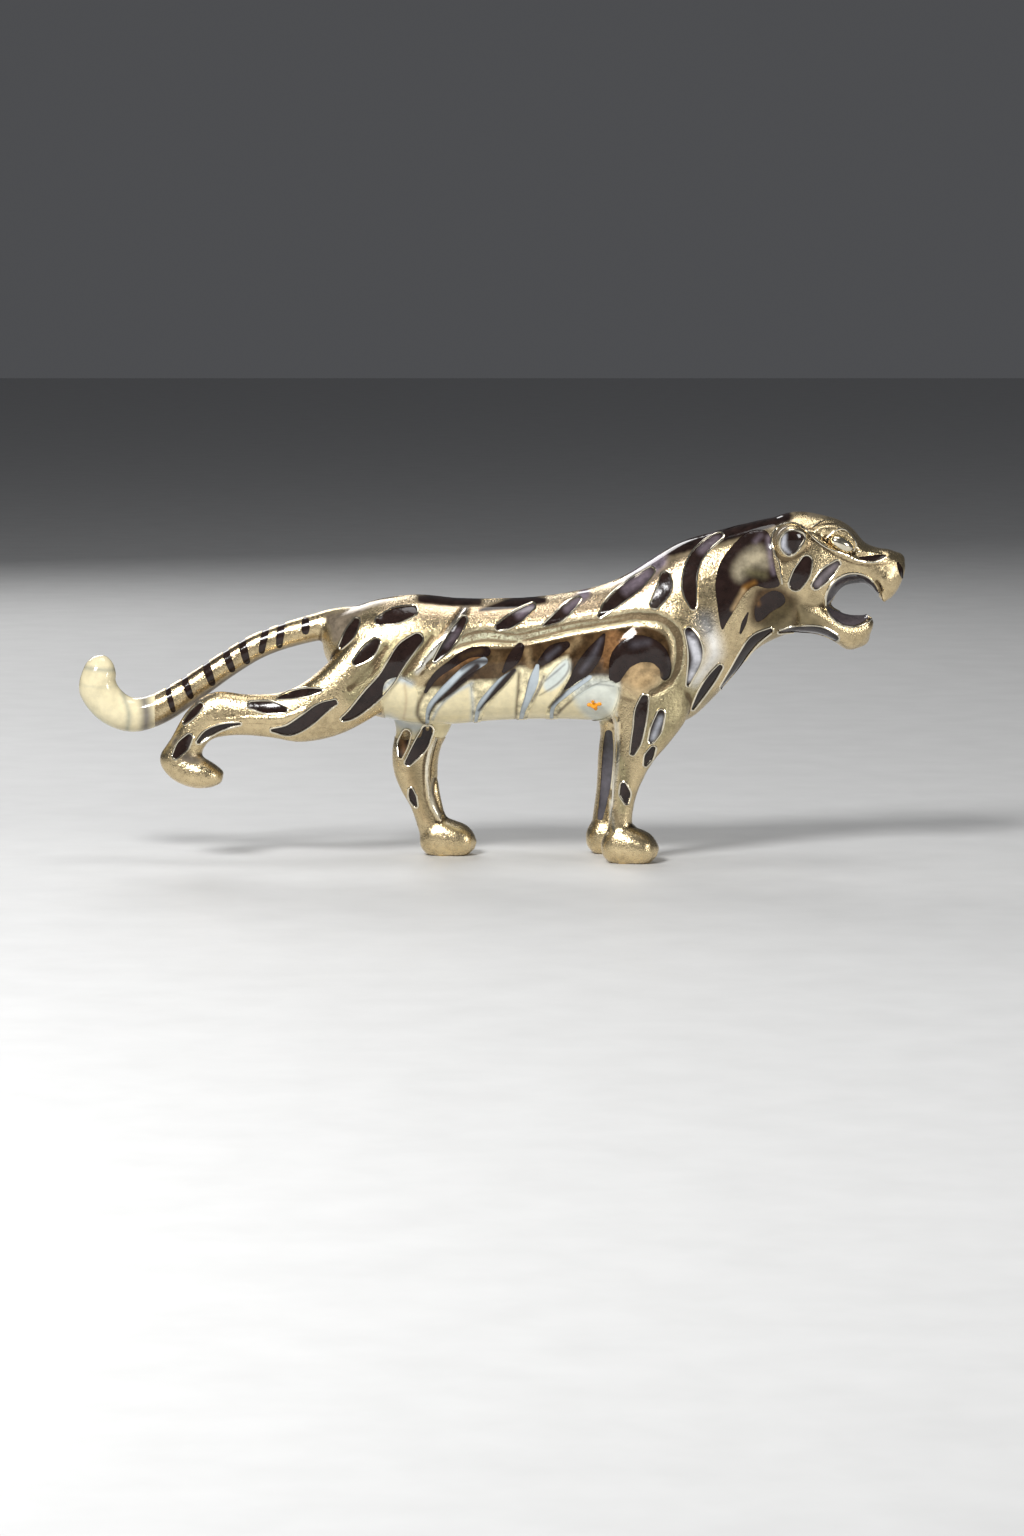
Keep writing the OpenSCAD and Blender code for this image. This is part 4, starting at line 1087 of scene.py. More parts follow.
@dataclass(frozen=True)
class CastMetal(Material):
    """Pale gold casting: satin and granular, polished on its ridges, with glaze where the tint says so."""

    patina: Colour = (0.16, 0.11, 0.06)

    def build(self) -> bpy.types.Material:
        """Makes the material."""
        material, tree, shader = self.start()
        tint = self.add(tree, "Attribute", attribute_name=Finish.TINT).outputs["Color"]
        state = self.add(tree, "Attribute", attribute_name=Finish.STATE).outputs["Color"]
        parts = self.add(tree, "SeparateColor", {"Color": state})
        glaze, grain = parts.outputs["Red"], parts.outputs["Green"]
        cloud, speck, pit = self.noise(tree, 130), self.noise(tree, 900, 4, 0.7), self.noise(tree, 2300, 2)
        patina_and_crease_shade = self.span(tree, self.math(tree, "ADD", cloud, speck), 0.92, 1.3, 0.0, 0.75)
        patina_and_crease_shade = self.math(tree, "MULTIPLY", patina_and_crease_shade, self.span(tree, grain, 0, 1, 0.35, 1.0))
        # Creases take the patina colour: real patina there, and painted shade as well
        patina_and_crease_shade = self.math(tree, "MAXIMUM", patina_and_crease_shade, self.span(tree, parts.outputs["Blue"], 0.515, 0.66, 0.0, 0.92))
        grit = self.span(tree, self.noise(tree, 1700, 2), 0.47, 0.62, 0.0, 0.9)
        gritty = self.math(tree, "MULTIPLY", grit, self.span(tree, grain, 0.3, 1, 0.0, 1.0))
        patina_and_crease_shade = self.math(tree, "MAXIMUM", patina_and_crease_shade, gritty)
        metal = self.blend(tree, patina_and_crease_shade, tint, (*self.patina, 1), "MIX")
        mottle = self.span(tree, self.noise(tree, 420, 4, 0.65), 0.35, 0.7, 0.45, 1.5)
        glassy = self.blend(tree, 1.0, tint, self.add(tree, "CombineColor", {
            "Red": mottle, "Green": mottle, "Blue": mottle}).outputs["Color"], "MULTIPLY")
        colour = self.blend(tree, glaze, metal, glassy)
        tree.links.new(colour, shader.inputs["Base Color"])
        tree.links.new(self.span(tree, glaze, 0, 1, 1.0, 0.12), shader.inputs["Metallic"])
        satin = self.math(
            tree, "ADD", self.span(tree, grain, 0, 1, 0.16, 0.40), self.span(tree, speck, 0.3, 0.7, -0.05, 0.09))
        rough = self.math(tree, "MULTIPLY", satin, self.span(tree, glaze, 0, 1, 1.0, 0.35))
        tree.links.new(rough, shader.inputs["Roughness"])
        shader.inputs["Specular IOR Level"].default_value = 0.35
        height = self.math(tree, "ADD", speck, self.math(tree, "MULTIPLY", pit, 0.8))
        depth = self.math(
            tree, "MULTIPLY", self.span(tree, grain, 0, 1, 0.05, 0.95), self.span(tree, glaze, 0, 1, 1.0, 0.1))
        bump = self.add(tree, "Bump", {"Strength": depth, "Distance": 0.00035, "Height": height})
        tree.links.new(bump.outputs["Normal"], shader.inputs["Normal"])
        return material


@dataclass(frozen=True)
class Enamel(Material):
    """Glossy fired enamel in the colours of its tint, clouded and speckled a little."""

    cloud: float = 0.35
    ripple: float = 0.12

    def build(self) -> bpy.types.Material:
        """Makes the material."""
        material, tree, shader = self.start()
        tint = self.add(tree, "Attribute", attribute_name=Finish.TINT).outputs["Color"]
        low, high = 1 - self.cloud, 1 + self.cloud
        mist = self.span(tree, self.noise(tree, 380, 4, 0.65), 0.32, 0.68, low, high)
        grey = self.add(tree, "CombineColor", {"Red": mist, "Green": mist, "Blue": mist}).outputs["Color"]
        colour = self.blend(tree, 1.0, tint, grey, "MULTIPLY")
        tree.links.new(colour, shader.inputs["Base Color"])
        tree.links.new(self.span(tree, self.noise(tree, 1500), 0.3, 0.7, 0.06, 0.2), shader.inputs["Roughness"])
        shader.inputs["Specular IOR Level"].default_value = 0.35
        shader.inputs["Coat Weight"].default_value = 0.2
        shader.inputs["Coat Roughness"].default_value = 0.03
        height = self.noise(tree, 700, 2)
        bump = self.add(tree, "Bump", {"Strength": self.ripple, "Distance": 0.0004, "Height": height})
        tree.links.new(bump.outputs["Normal"], shader.inputs["Normal"])
        return material


@dataclass(frozen=True)
class BrightWire(Material):
    """The polished gold of rims and eyes."""

    base: Colour = (0.92, 0.84, 0.66)
    rough: float = 0.12

    def build(self) -> bpy.types.Material:
        """Makes the material."""
        material, tree, shader = self.start()
        rub = self.span(tree, self.noise(tree, 600, 4), 0.35, 0.7, 0.0, 0.35)
        dull = tuple(c * 0.62 for c in self.base)
        tree.links.new(self.blend(tree, rub, (*self.base, 1), (*dull, 1)), shader.inputs["Base Color"])
        shader.inputs["Metallic"].default_value = 1.0
        tree.links.new(self.span(tree, rub, 0, 0.35, self.rough, self.rough + 0.14), shader.inputs["Roughness"])
        return material


@dataclass(frozen=True)
class TurnedBrass(BrightWire):
    """Yellow brass as it comes off the lathe."""

    base: Colour = (0.72, 0.52, 0.22)
    rough: float = 0.24


@dataclass(frozen=True)
class PaleFloor(Material):
    """The pale sweep that the tiger stands on."""

    def build(self) -> bpy.types.Material:
        """Makes the material."""
        material, tree, shader = self.start()
        fleck = self.span(tree, self.noise(tree, 60), 0.3, 0.7, 0.0, 1.0)
        pale = self.blend(tree, fleck, (0.56, 0.56, 0.555, 1), (0.60, 0.60, 0.595, 1))
        tree.links.new(pale, shader.inputs["Base Color"])
        shader.inputs["Roughness"].default_value = 0.55
        return material


# ---------------------------------------------------------------- what is painted where

SIDE_PANEL = Patch((
    (-17, 40), (-14.6, 44.4), (-9, 49.4), (-2, 51.4), (5, 51.8), (12, 53), (20, 54.6), (28, 56), (36, 56.8),
    (41.4, 54.6), (42.8, 49), (42, 44.6), (38.6, 45.4), (34, 45.6), (31, 43), (29.4, 39), (27, 33), (10, 29),
        (-15, 29)))
BELLY_PAINTS = (
    Paint(Patch(((-25.8, 43), (-22, 45), (-17.4, 42.4), (-12, 42), (-5, 43.6), (2, 44), (6.6, 47), (11, 46),
                 (18, 49.6), (19, 44.4), (24, 44.6), (29, 44.2), (30.6, 40.6), (28.4, 34), (22, 28), (0, 28),
                 (-20, 28), (-25.4, 34))), CREAM, 1.0, 1.2),
    Paint(Line(((-25.4, 42, 0.6), (-22.6, 44.2, 0.7), (-19, 43, 0.6))), BLUE_WHITE, soft=2.2),
    Paint(Line(((-24.6, 34, 1), (-21, 31.6, 1.4), (-16, 31, 1.2))), BLUE_WHITE, soft=2.6, strength=0.8),
    Paint(Line(((-20.6, 43, 0.1), (-20.2, 38.6, 0.15), (-21, 34, 0.1))), TAN, soft=1.2, strength=0.7),
    Paint(Line(((-14.6, 43, 0.5), (-17, 38.6, 0.5), (-17.6, 35, 0.4), (-16, 32.4, 0.3))),
          BROWN, soft=1.3, strength=0.9),
    Paint(Line(((-4.6, 43, 0.3), (-9, 40.6, 0.3), (-12.4, 37.4, 0.25), (-14, 34, 0.2))), BLUE_WHITE, soft=1.4),
    Paint(Line(((-4.8, 42, 0.3), (-4.4, 37.2, 0.35), (-4.8, 33, 0.2))), BLUE_WHITE, soft=1.3, strength=0.8),
    Paint(Line(((6.6, 45.6, 0.3), (6.2, 40, 0.3), (5.8, 33, 0.2))), BROWN, soft=1.1, strength=0.85),
    Paint(Line(((1.6, 43.4, 0.3), (-1.6, 38.8, 0.3), (-3.4, 35, 0.2))), BLUE_WHITE, soft=1.6),
    Paint(Patch(((12.4, 43), (15, 46.6), (17.8, 49), (18.8, 46.6), (16.8, 43), (13.4, 41))), MILK, soft=1.2),
    Paint(Line(((12.8, 43.6, 0.1), (15.4, 45.8, 0.15), (17.4, 47.6, 0.1))), SLATE, soft=0.7, strength=0.8),
    Paint(Line(((18.4, 49, 0.1), (18.2, 46, 0.15), (15.6, 42.8, 0.15), (11.4, 40, 0.1))),
          BROWN, soft=0.7, strength=0.8),
    Paint(Line(((22.9, 44.1, 0.2), (17.6, 40.2, 0.3), (14.4, 36.6, 0.35), (15.4, 34.9, 0.3), (17.4, 37.2, 0.25),
                (21.6, 40.8, 0.2), (26, 43, 0.1))), BROWN, soft=0.9, strength=0.9),
    Paint(Patch(((20, 43), (24.4, 44.6), (29.4, 44), (30.4, 41), (28.8, 36), (25, 33), (20, 38))),
          MILK, soft=2.4, strength=0.85),
    Paint(Line(((21.4, 41.6, 0.1), (25, 42.8, 0.15), (29, 42.4, 0.1))), SLATE, soft=0.7, strength=0.6),
)
CREST_SHADOWS = (
    Paint(Line(((-3.4, 47, 0.8), (-6.2, 44.4, 1), (-9.5, 41.2, 0.8), (-13.2, 38, 0.4), (-14.8, 35.2, 0.2))),
          DARK, 1.0, 0.8),
    Paint(Line(((5.4, 46.2, 0.6), (3.2, 43.6, 0.8), (0.4, 40.4, 0.6), (-3, 36.2, 0.2))), DARK, 1.0, 0.8),
    Paint(Line(((12.6, 45, 0.2), (11.2, 41.6, 0.35), (9.6, 38.4, 0.2))), SLATE, 1.0, 0.8, 0.9),
    Paint(Line(((18.8, 43.4, 0.5), (16.6, 40.2, 0.5), (13.8, 37, 0.3))), DARK, 1.0, 0.8, 0.9),
)
FLANK_PAINTS = (
    Paint(SIDE_PANEL, BROWN, 1.0, 0.9, grain=0.3),
    Paint(Patch(((27.4, 55), (30, 55.4), (32, 53.6), (30, 50), (27.4, 47), (25.6, 49))), COPPER, 1.0, 2.2, 0.8),
    Paint(Patch(((31, 43.6), (33, 47.6), (37, 48.4), (39.6, 46.6), (39, 43), (35, 41))), TAN, 0.75, 4),
    Paint(Line(((-12, 45, 0.6), (-7, 48.4, 0.8), (-2, 49.6, 0.4))), COPPER, 1.0, 2, 0.7),
    Paint(Line(((-2, 47, 0.5), (1.4, 49.6, 0.9), (1, 45, 0.8), (-1.6, 42.6, 0.4))), TAN, 1.0, 2.2, 0.12),
    Paint(Line(((8.6, 51, 0.6), (9, 46, 0.5), (7.6, 40, 0.4), (6.6, 34, 0.2))), TAN, 1.0, 1.8, 0.6),
    Paint(Line(((20.6, 53.4, 0.8), (18.4, 51, 0.6))), TAN, 1.0, 2, 0.5),
)
METAL_PAINTS = (
    # Granular grey-green metal in the flank channel and the hollows of the haunch
    Paint(RELIEFS[0].shape, (0.50, 0.50, 0.36), soft=2, grain=1.0, strength=0.95),
    Paint(Patch(((-26, 53.4), (-20, 54.4), (-15, 55), (-12.4, 53), (-18, 45), (-24, 40), (-31, 37), (-34.6, 41),
                 (-30, 48))),
          GREEN_GOLD, soft=3.4, grain=0.8, strength=0.75),
    Paint(Patch(((40, 42), (47, 46), (52, 40), (47, 36), (42, 30), (36, 28), (37, 38))),
          GREEN_GOLD, soft=4, grain=0.8, strength=0.6),
    Paint(Line(((-14, 54.6, 0.6), (-9, 56.6, 0.6))), GREEN_GOLD, soft=2, grain=0.8, strength=0.6),
    # Darker grit where the channel rounds the shoulder
    Paint(Line(((16, 55.8, 0.5), (28, 57.8, 0.7), (38, 58.6, 0.7), (43, 56, 0.6), (44.6, 50, 0.5), (43.6, 46, 0.3))),
          (0.28, 0.27, 0.18), soft=1.2, grain=1.0, strength=0.8),
    # Pinkish gold along the back
    Paint(Line(((-24, 60, 2), (-8, 60, 2), (12, 60, 2.4), (30, 63, 2.4), (44, 70, 2.6), (52, 72, 2))),
          PINK_GOLD, soft=4, strength=0.6),
    # Painted highlight along the ridge in front of the haunch, polished smooth as well
    Paint(RELIEFS[1].shape, (0.96, 0.93, 0.86), soft=1.6, grain=0.0),
    # Painted highlight on the chest, polished smooth as well
    Paint(Line(((50.6, 58, 1.6), (53, 50, 1.6), (48.6, 43.6, 1))), (1.0, 0.98, 0.93), soft=5, grain=0.0),
    # Glaze over the neck behind the head, and along the top of the neck and back
    Paint(Patch(((61, 58), (62, 65), (66, 66.6), (70, 65.6), (73.4, 62), (70, 57.6), (65, 56))), BROWN, 0.85, 3.6),
    Paint(Line(((42, 73.4, 1.2), (48, 76, 2.2), (56, 78.8, 2.8), (63, 81, 3), (70, 82.4, 2))), DARK, 1.0, 2, grain=0),
    # The lavender strokes in this group are painted sheen on the glaze
    Paint(Line(((50, 74.4, 0.8), (53, 77.6, 1))), LAVENDER, 0.9, 2, 0.6),
    Paint(Line(((-17, 62.6, 1), (-10, 62.2, 1.4), (-3, 61.8, 1))), DARK, 1.0, 1.2, grain=0),
    Paint(Line(((30.6, 64.8, 1.2), (35.4, 68.4, 2.2), (40, 71.8, 2))), LAVENDER, 1.0, 2, grain=0),
    Paint(Line(((-2.8, 60, 0.4), (3, 61.2, 1.1), (8, 62, 1.3), (12.6, 62.2, 0.7))), DARK, 1.0, 0.9, grain=0),
    Paint(Line(((18.6, 61, 0.9), (22.4, 63.8, 1.3))), LAVENDER, 1.0, 1.4, grain=0),
    Paint(Line(((-30, 60.4, 0.6), (-27.4, 61.4, 0.8), (-24.6, 62.4, 0.4))), DARK, 0.9, 1.6, 0.8),
    # Brown-grey glaze where the tail leaves the back
    Paint(Patch(((-40, 58.6), (-34.6, 60), (-29.6, 62.4), (-31, 59), (-35.4, 53.4), (-37.6, 52.4), (-38.6, 55.4))),
          (0.15, 0.12, 0.10), 0.9, 1.6, 0.85),
    Paint(Line(((76, 82.6, 0.6), (79.4, 82.6, 0.5))), SLATE, 0.7, 1.6, 0.6),
    Paint(Line(((69.6, 79.9, 0.6), (66, 76, 0.8), (66.4, 70, 0.6))), SLATE, 0.8, 2, 0.8),
    # Glaze worn into the legs and the trailing hock
    Paint(Line(((-74.8, 29, 1.2), (-72.6, 25.4, 1.2), (-69.4, 24.6, 0.6))), SLATE, 0.8, 2, 0.8),
    Paint(Line(((29.6, 11.4, 0.6), (30.4, 8.6, 0.5))), BROWN, 0.7, 2.2, 0.7),
    Paint(Line(((-14.2, 18.6, 0.2), (-14.2, 14, 0.4), (-12.6, 10, 0.3))), SLATE, 0.9, 0.8, 0.85),
    Paint(Line(((-19.4, 21, 1), (-18.6, 16, 1.1), (-16.4, 10, 0.8), (-14.4, 7.4, 0.5))), TAN, 0.4, 2.4, 0.6),
    Paint(Line(((30.6, 25, 0.9), (31.4, 20, 1), (31, 13, 0.8))), GREEN_GOLD, soft=2.4, grain=0.7, strength=0.7),
    Paint(Line(((-19.6, 29, 1.4), (-19, 22, 1.5), (-17, 14, 1.2), (-15, 9, 0.6))), OLIVE, 0.35, 3, 0.6),
    # Painted highlight lines down the legs, polished smooth as well
    Paint(Line(((-12, 30, 0.4), (-15.4, 23.6, 0.5), (-14.9, 15, 0.4), (-12.4, 9, 0.3), (-8, 6.4, 0.3))),
          HIGHLIGHT_GOLD, soft=0.9, grain=0.0),
    Paint(Line(((29.6, 36, 0.4), (30, 26, 0.4), (28.6, 14, 0.4), (29, 8, 0.3))), HIGHLIGHT_GOLD, soft=0.9, grain=0.0),
    Paint(Line(((37.4, 22, 0.4), (34.6, 14, 0.4), (34.4, 9, 0.3))), HIGHLIGHT_GOLD, soft=0.9, grain=0.0),
    Paint(Line(((33, 26, 0.8), (32, 21, 0.9), (31.4, 16, 0.8))), OLIVE, 0.3, 2, 0.45),
    Paint(Line(((28.6, 6, 0.5), (34, 6.2, 0.5), (38, 4.4, 0.4))), BROWN, 0.4, 1.6, 0.5),
    # Olive patina and painted shade under the jaw and behind the cheek
    Paint(Patch(((64, 54), (66, 61), (72, 62.6), (77, 59.6), (80, 56.4), (74, 54.4), (68, 53.6))), OLIVE, 0.5, 5, 0.75),
    Paint(Line(((76.6, 63.6, 0.8), (78, 60.4, 1), (80.6, 57.6, 0.6))), OLIVE, 0.2, 3.4, 0.45),
    # The tail's plain grey underside
    Paint(Line(((-84, 31.4, 1), (-78, 33.4, 1), (-70, 38.6, 0.9), (-62, 44, 0.8), (-52, 49.6, 0.6), (-42, 52.2, 0.5))),
          SLATE, 0.5, 2, 0.8),
    Paint(Line(((-80.4, 37.4, 1), (-78, 38.4, 1))), TAN, 0.6, 2.6, 0.7),
    Paint(Line(((-74, 42.6, 1.4), (-66, 47.6, 1.4), (-58, 52, 1.4))), (0.62, 0.46, 0.29),
          soft=2.4, grain=0.2, strength=0.8),
)
# Touches on the enamel, dark unless they say otherwise
STRIPE_TOUCHES = (
    # Painted lavender sheen towards the upper ends along the back
    Paint(Line(((32, 65, 0.8), (37, 68.6, 1.2))), LAVENDER, soft=2.6, strength=0.75),
    Paint(Line(((18, 60.4, 0.6), (20.6, 62.4, 0.8))), LAVENDER, soft=2, strength=0.75),
    Paint(Line(((6.6, 59, 0.6), (9.6, 61, 0.8))), LAVENDER, soft=2, strength=0.75),
    Paint(Line(((-8, 55.4, 0.6), (-10.6, 52, 0.6))), LAVENDER, soft=1.6, strength=0.5),
    Paint(Line(((50, 74.4, 0.8), (53.6, 77, 0.8))), LAVENDER, soft=2.2, strength=0.6),
    # The crescent on the shoulder and the upper ones on the front leg are grey-blue
    Paint(Line(((47.2, 54, 1), (48.8, 49, 1), (47, 44, 0.6))), (0.50, 0.50, 0.53), soft=1.2),
    Paint(Line(((46.2, 55.2, 0.4), (48.6, 53.6, 0.3))), SLATE, soft=1),
    Paint(Line(((40.2, 34.8, 0.6), (38.4, 30, 0.6))), (0.34, 0.35, 0.38), soft=1.4, strength=0.9),
    # Cheek and throat
    Paint(Line(((81.6, 70.9, 0.6), (77.4, 66.6, 0.8))), (0.20, 0.17, 0.18), soft=1.6),
    Paint(Line(((70, 55, 0.5), (80, 54, 0.6))), (0.12, 0.10, 0.10), soft=2),
    # The neck panel: dark at its front and top, a tan painted reflection in the middle, grey behind the ear
    Paint(Patch(((57.4, 69.6), (59.4, 73), (63, 75.2), (65.6, 73.6), (65.4, 70.6), (61.6, 70.2), (59, 67.4))),
          (0.36, 0.31, 0.21),
          soft=3.4, strength=0.9),
    Paint(Line(((61, 69.4, 0.8), (64.6, 68.6, 0.8))), (0.16, 0.14, 0.07), soft=2.6, strength=0.6),
    Paint(Line(((65.8, 77.4, 0.3), (66, 73, 0.4), (67, 69, 0.3))), LAVENDER, soft=1.8, strength=0.8),
    Paint(Line(((64, 77.8, 0.4), (62.6, 76.4, 0.4))), LAVENDER, soft=1.8, strength=0.5),
    Paint(Line(((60.2, 65.6, 0.4), (62.4, 66.8, 0.3))), (0.32, 0.15, 0.03), soft=2, strength=0.8),
    Paint(Line(((62.8, 63.6, 0.3), (63.4, 61.6, 0.3))), (0.32, 0.15, 0.03), soft=1.6, strength=0.45),
    Paint(Line(((57.4, 60.6, 0.4), (59.8, 64.8, 0.5))), TAN, soft=1.6, strength=0.7),
    # The arch fades to tan below, and the flank's stripes have slate hearts
    Paint(Line(((33, 44.2, 0.6), (36.4, 45.4, 0.8), (39, 44.8, 0.6))), TAN, soft=2.6, strength=0.85),
    Paint(Line(((33.6, 52.4, 0.6), (37, 53, 0.5))), SLATE, soft=2.4, strength=0.7),
    Paint(Line(((26, 53.6, 0.2), (24, 49.6, 0.5), (21.4, 46, 0.4))), SLATE, soft=1.8, strength=0.9),
    Paint(Line(((16, 51.4, 0.4), (13.4, 49.2, 0.6))), SLATE, soft=1.4, strength=0.8),
    Paint(Line(((-2.6, 50.8, 0.5), (-7, 49.2, 0.5))), BROWN, soft=1.6, strength=0.8),
    Paint(Line(((-22, 29, 0.8), (-21, 25, 0.5))), COPPER, soft=1.8, strength=0.6),
    # Ear: pale grey at the back, dark in front
    Paint(Line(((69.4, 78.2, 0.4), (69.2, 75.4, 0.6), (70.6, 74, 0.2))), (0.45, 0.46, 0.50), soft=1.2),
)
CREST_TOUCHES = (
    Paint(Line(((-1, 48.2, 0.7), (-4.4, 48, 0.8), (-7, 46.4, 0.4))), DARK, soft=1.4, strength=0.9),
    # Painted shadows beside the folds of the first two crests
    Paint(Line(((-2.4, 46, 0.2), (-6.4, 43.4, 0.5), (-10.6, 39.8, 0.5), (-13.4, 37, 0.4), (-15, 34, 0.2))),
          DARK, soft=0.7),
    Paint(Line(((5.6, 44.4, 0.3), (2.6, 41.4, 0.5), (-0.6, 37.8, 0.4), (-2.8, 34.6, 0.2))), DARK, soft=0.7),
    Paint(Line(((9.4, 47.4, 0.3), (8.6, 43.6, 0.4), (7.4, 39, 0.3), (6.2, 34, 0.2))), SLATE, soft=0.8, strength=0.85),
    # Painted shadow beside the third crest
    Paint(Line(((12.4, 44.6, 0.2), (10.8, 41, 0.3), (9.2, 37.6, 0.2))), SLATE, soft=0.7, strength=0.7),
    Paint(Line(((23.6, 43.4, 0.3), (19.4, 40.4, 0.3), (16.2, 37, 0.3), (15.4, 34.4, 0.2))),
          BROWN, soft=0.7, strength=0.9),
)
TIP_TOUCHES = (
    Paint(Line(((-101, 46.6, 0.25), (-92, 45.4, 0.3), (-86, 45.6, 0.25))), SMOKE, soft=1.6, strength=0.75),
    Paint(Line(((-101, 42.4, 0.05), (-94, 41.4, 0.1), (-88, 41.6, 0.05))), SMOKE, soft=1.4, strength=0.35),
    Paint(Line(((-88.4, 40, 0.2), (-86.6, 35, 0.35), (-87.6, 29, 0.2))), SMOKE, soft=1.8, strength=0.8),
    Paint(Line(((-83.6, 40, 0.8), (-82.4, 35, 1.2), (-83, 30, 0.8))), SLATE, soft=2.6, strength=0.85),
    Paint(Line(((-96.4, 36, 0.5), (-92, 32, 0.6))), (0.80, 0.76, 0.52), soft=4, strength=0.6),
)


@dataclass(frozen=True)
class Look:
    """What a piece is finished as: its material, its slot, and its colours."""

    material: str
    slot: str
    tone: Colour
    glaze: float = 1.0
    grain: float = 0.0
    paints: Sequence[Paint] = ()
    fine: bool = False


LOOKS = {
    "trunk": Look("cast", "cast_gold", GOLD, 0.0, 0.35, METAL_PAINTS + FLANK_PAINTS + BELLY_PAINTS + CREST_SHADOWS),
    "tail_tip": Look("cream", "tip_enamel", (0.78, 0.69, 0.45), paints=TIP_TOUCHES),
    "eye": Look("wire", "polished_gold", GOLD, 0.0),
    "belly_panel": Look("cream", "cream_enamel", CREAM, paints=BELLY_PAINTS + CREST_SHADOWS, fine=True),
    "amber_spots": Look("enamel", "amber_enamel", AMBER),
    "mouth_lining": Look("enamel", "dark_enamel", (0.07, 0.058, 0.062)),
    "belly_crests": Look("cream", "pale_enamel", BLUE_WHITE, paints=CREST_TOUCHES + CREST_SHADOWS, fine=True),
    "shoulder_arch": Look("enamel", "brown_enamel", DARK, paints=STRIPE_TOUCHES),
    "front_leg_panel": Look("enamel", "dark_enamel", SLATE),
    "flank_stripes": Look("enamel", "dark_enamel", DARK, paints=STRIPE_TOUCHES, fine=True),
    "neck_stripes": Look("enamel", "dark_enamel", DARK, paints=STRIPE_TOUCHES, fine=True),
}
METAL_LOOK = Look("cast", "cast_gold", GOLD, 0.0, 0.35, METAL_PAINTS)
STRIPE_LOOK = Look("enamel", "dark_enamel", DARK, paints=STRIPE_TOUCHES)


def look_of(node: str) -> Look:
    """The look of the piece that stands for one of the frame's nodes."""
    part = node.removeprefix("right_").removeprefix("left_").rstrip("_12345")
    if part in LOOKS:
        return LOOKS[part]
    return METAL_LOOK if part.endswith("leg") or part in ("head", "tail") else STRIPE_LOOK


# ---------------------------------------------------------------- building the pieces

# Farther out than any part of the tiger, and a little under its soles, in millimetres
FAR = 130.0
UNDER = -5.0
# Where the head's joint plane crosses the middle plane, as x and z, and how far it leans back, in degrees
HEAD_JOINT = (67.2, 67.5)
HEAD_JOINT_LEAN = 10


def frame_mm(node: str) -> tuple[Point, Point]:
    """The lowest and highest corners of one of the frame's nodes, in millimetres."""
    low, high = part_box(node)
    return tuple(c / MM for c in low), tuple(c / MM for c in high)


@dataclass
class Mouth:
    """The open mouth, a C from cheek to cheek that flares towards both."""

    middle: Point = (87.4, 62.1)
    cheek: Point = (86, 62.4)
    middle_radii: Point = (4.9, 3.7)
    cheek_radii: Point = (6.3, 6.1)
    cheek_y: float = 5.4
    wall: float = 0.45
    reach_y: float = 11.0
    stations: Sequence[float] = (1.4, 2.8, 4.2, 5.4, 11)
    flare: float = 1.3
    rim_radius: float = 0.36
    lips: tuple[float, float] = (42, 318)

    def tool(self, grow: float = 0.0) -> bpy.types.Object:
        """The space that the mouth takes out of the head.

        Args:
            grow: How much wider it is all round, in millimetres.

        Returns:
            A closed solid of the throat and the gap between the lips.
        """
        turn = np.linspace(0, 2 * np.pi, 48, endpoint=False)
        rings = []
        for y in (*(-y for y in reversed(self.stations)), 0, *self.stations):
            t = min(abs(y) / self.cheek_y, 1.0) ** self.flare
            cx, cz, rx, rz = (a + (b - a) * t for a, b in zip(
                (*self.middle, *self.middle_radii), (*self.cheek, *self.cheek_radii)))
            rings.append(np.column_stack([
                cx + (rx + grow) * np.cos(turn), np.full(len(turn), float(y)), cz + (rz + grow) * np.sin(turn)]))
        throat = swept("mouth_tool", rings)
        x, z = self.middle
        gap = np.array([
            (x, z - 2.6 - grow), (x + 3, z - 3.3 - grow), (x + 9, z - 5), (x + 11, z - 1.1), (x + 5.2 + grow, z - 1.1)])
        front = prism("mouth_front", gap, -self.reach_y, self.reach_y)
        carve(throat, front, Cut.JOINED)
        drop(front)
        return throat

    def cheek_rim(self) -> np.ndarray:
        """The line of the bright rim on the cheek, open towards the front, as [x, z] rows."""
        turn = np.radians(np.linspace(*self.lips, 60))
        rx, rz = (r + 0.35 for r in self.cheek_radii)
        return np.column_stack([self.cheek[0] + rx * np.cos(turn), self.cheek[1] + rz * np.sin(turn)])


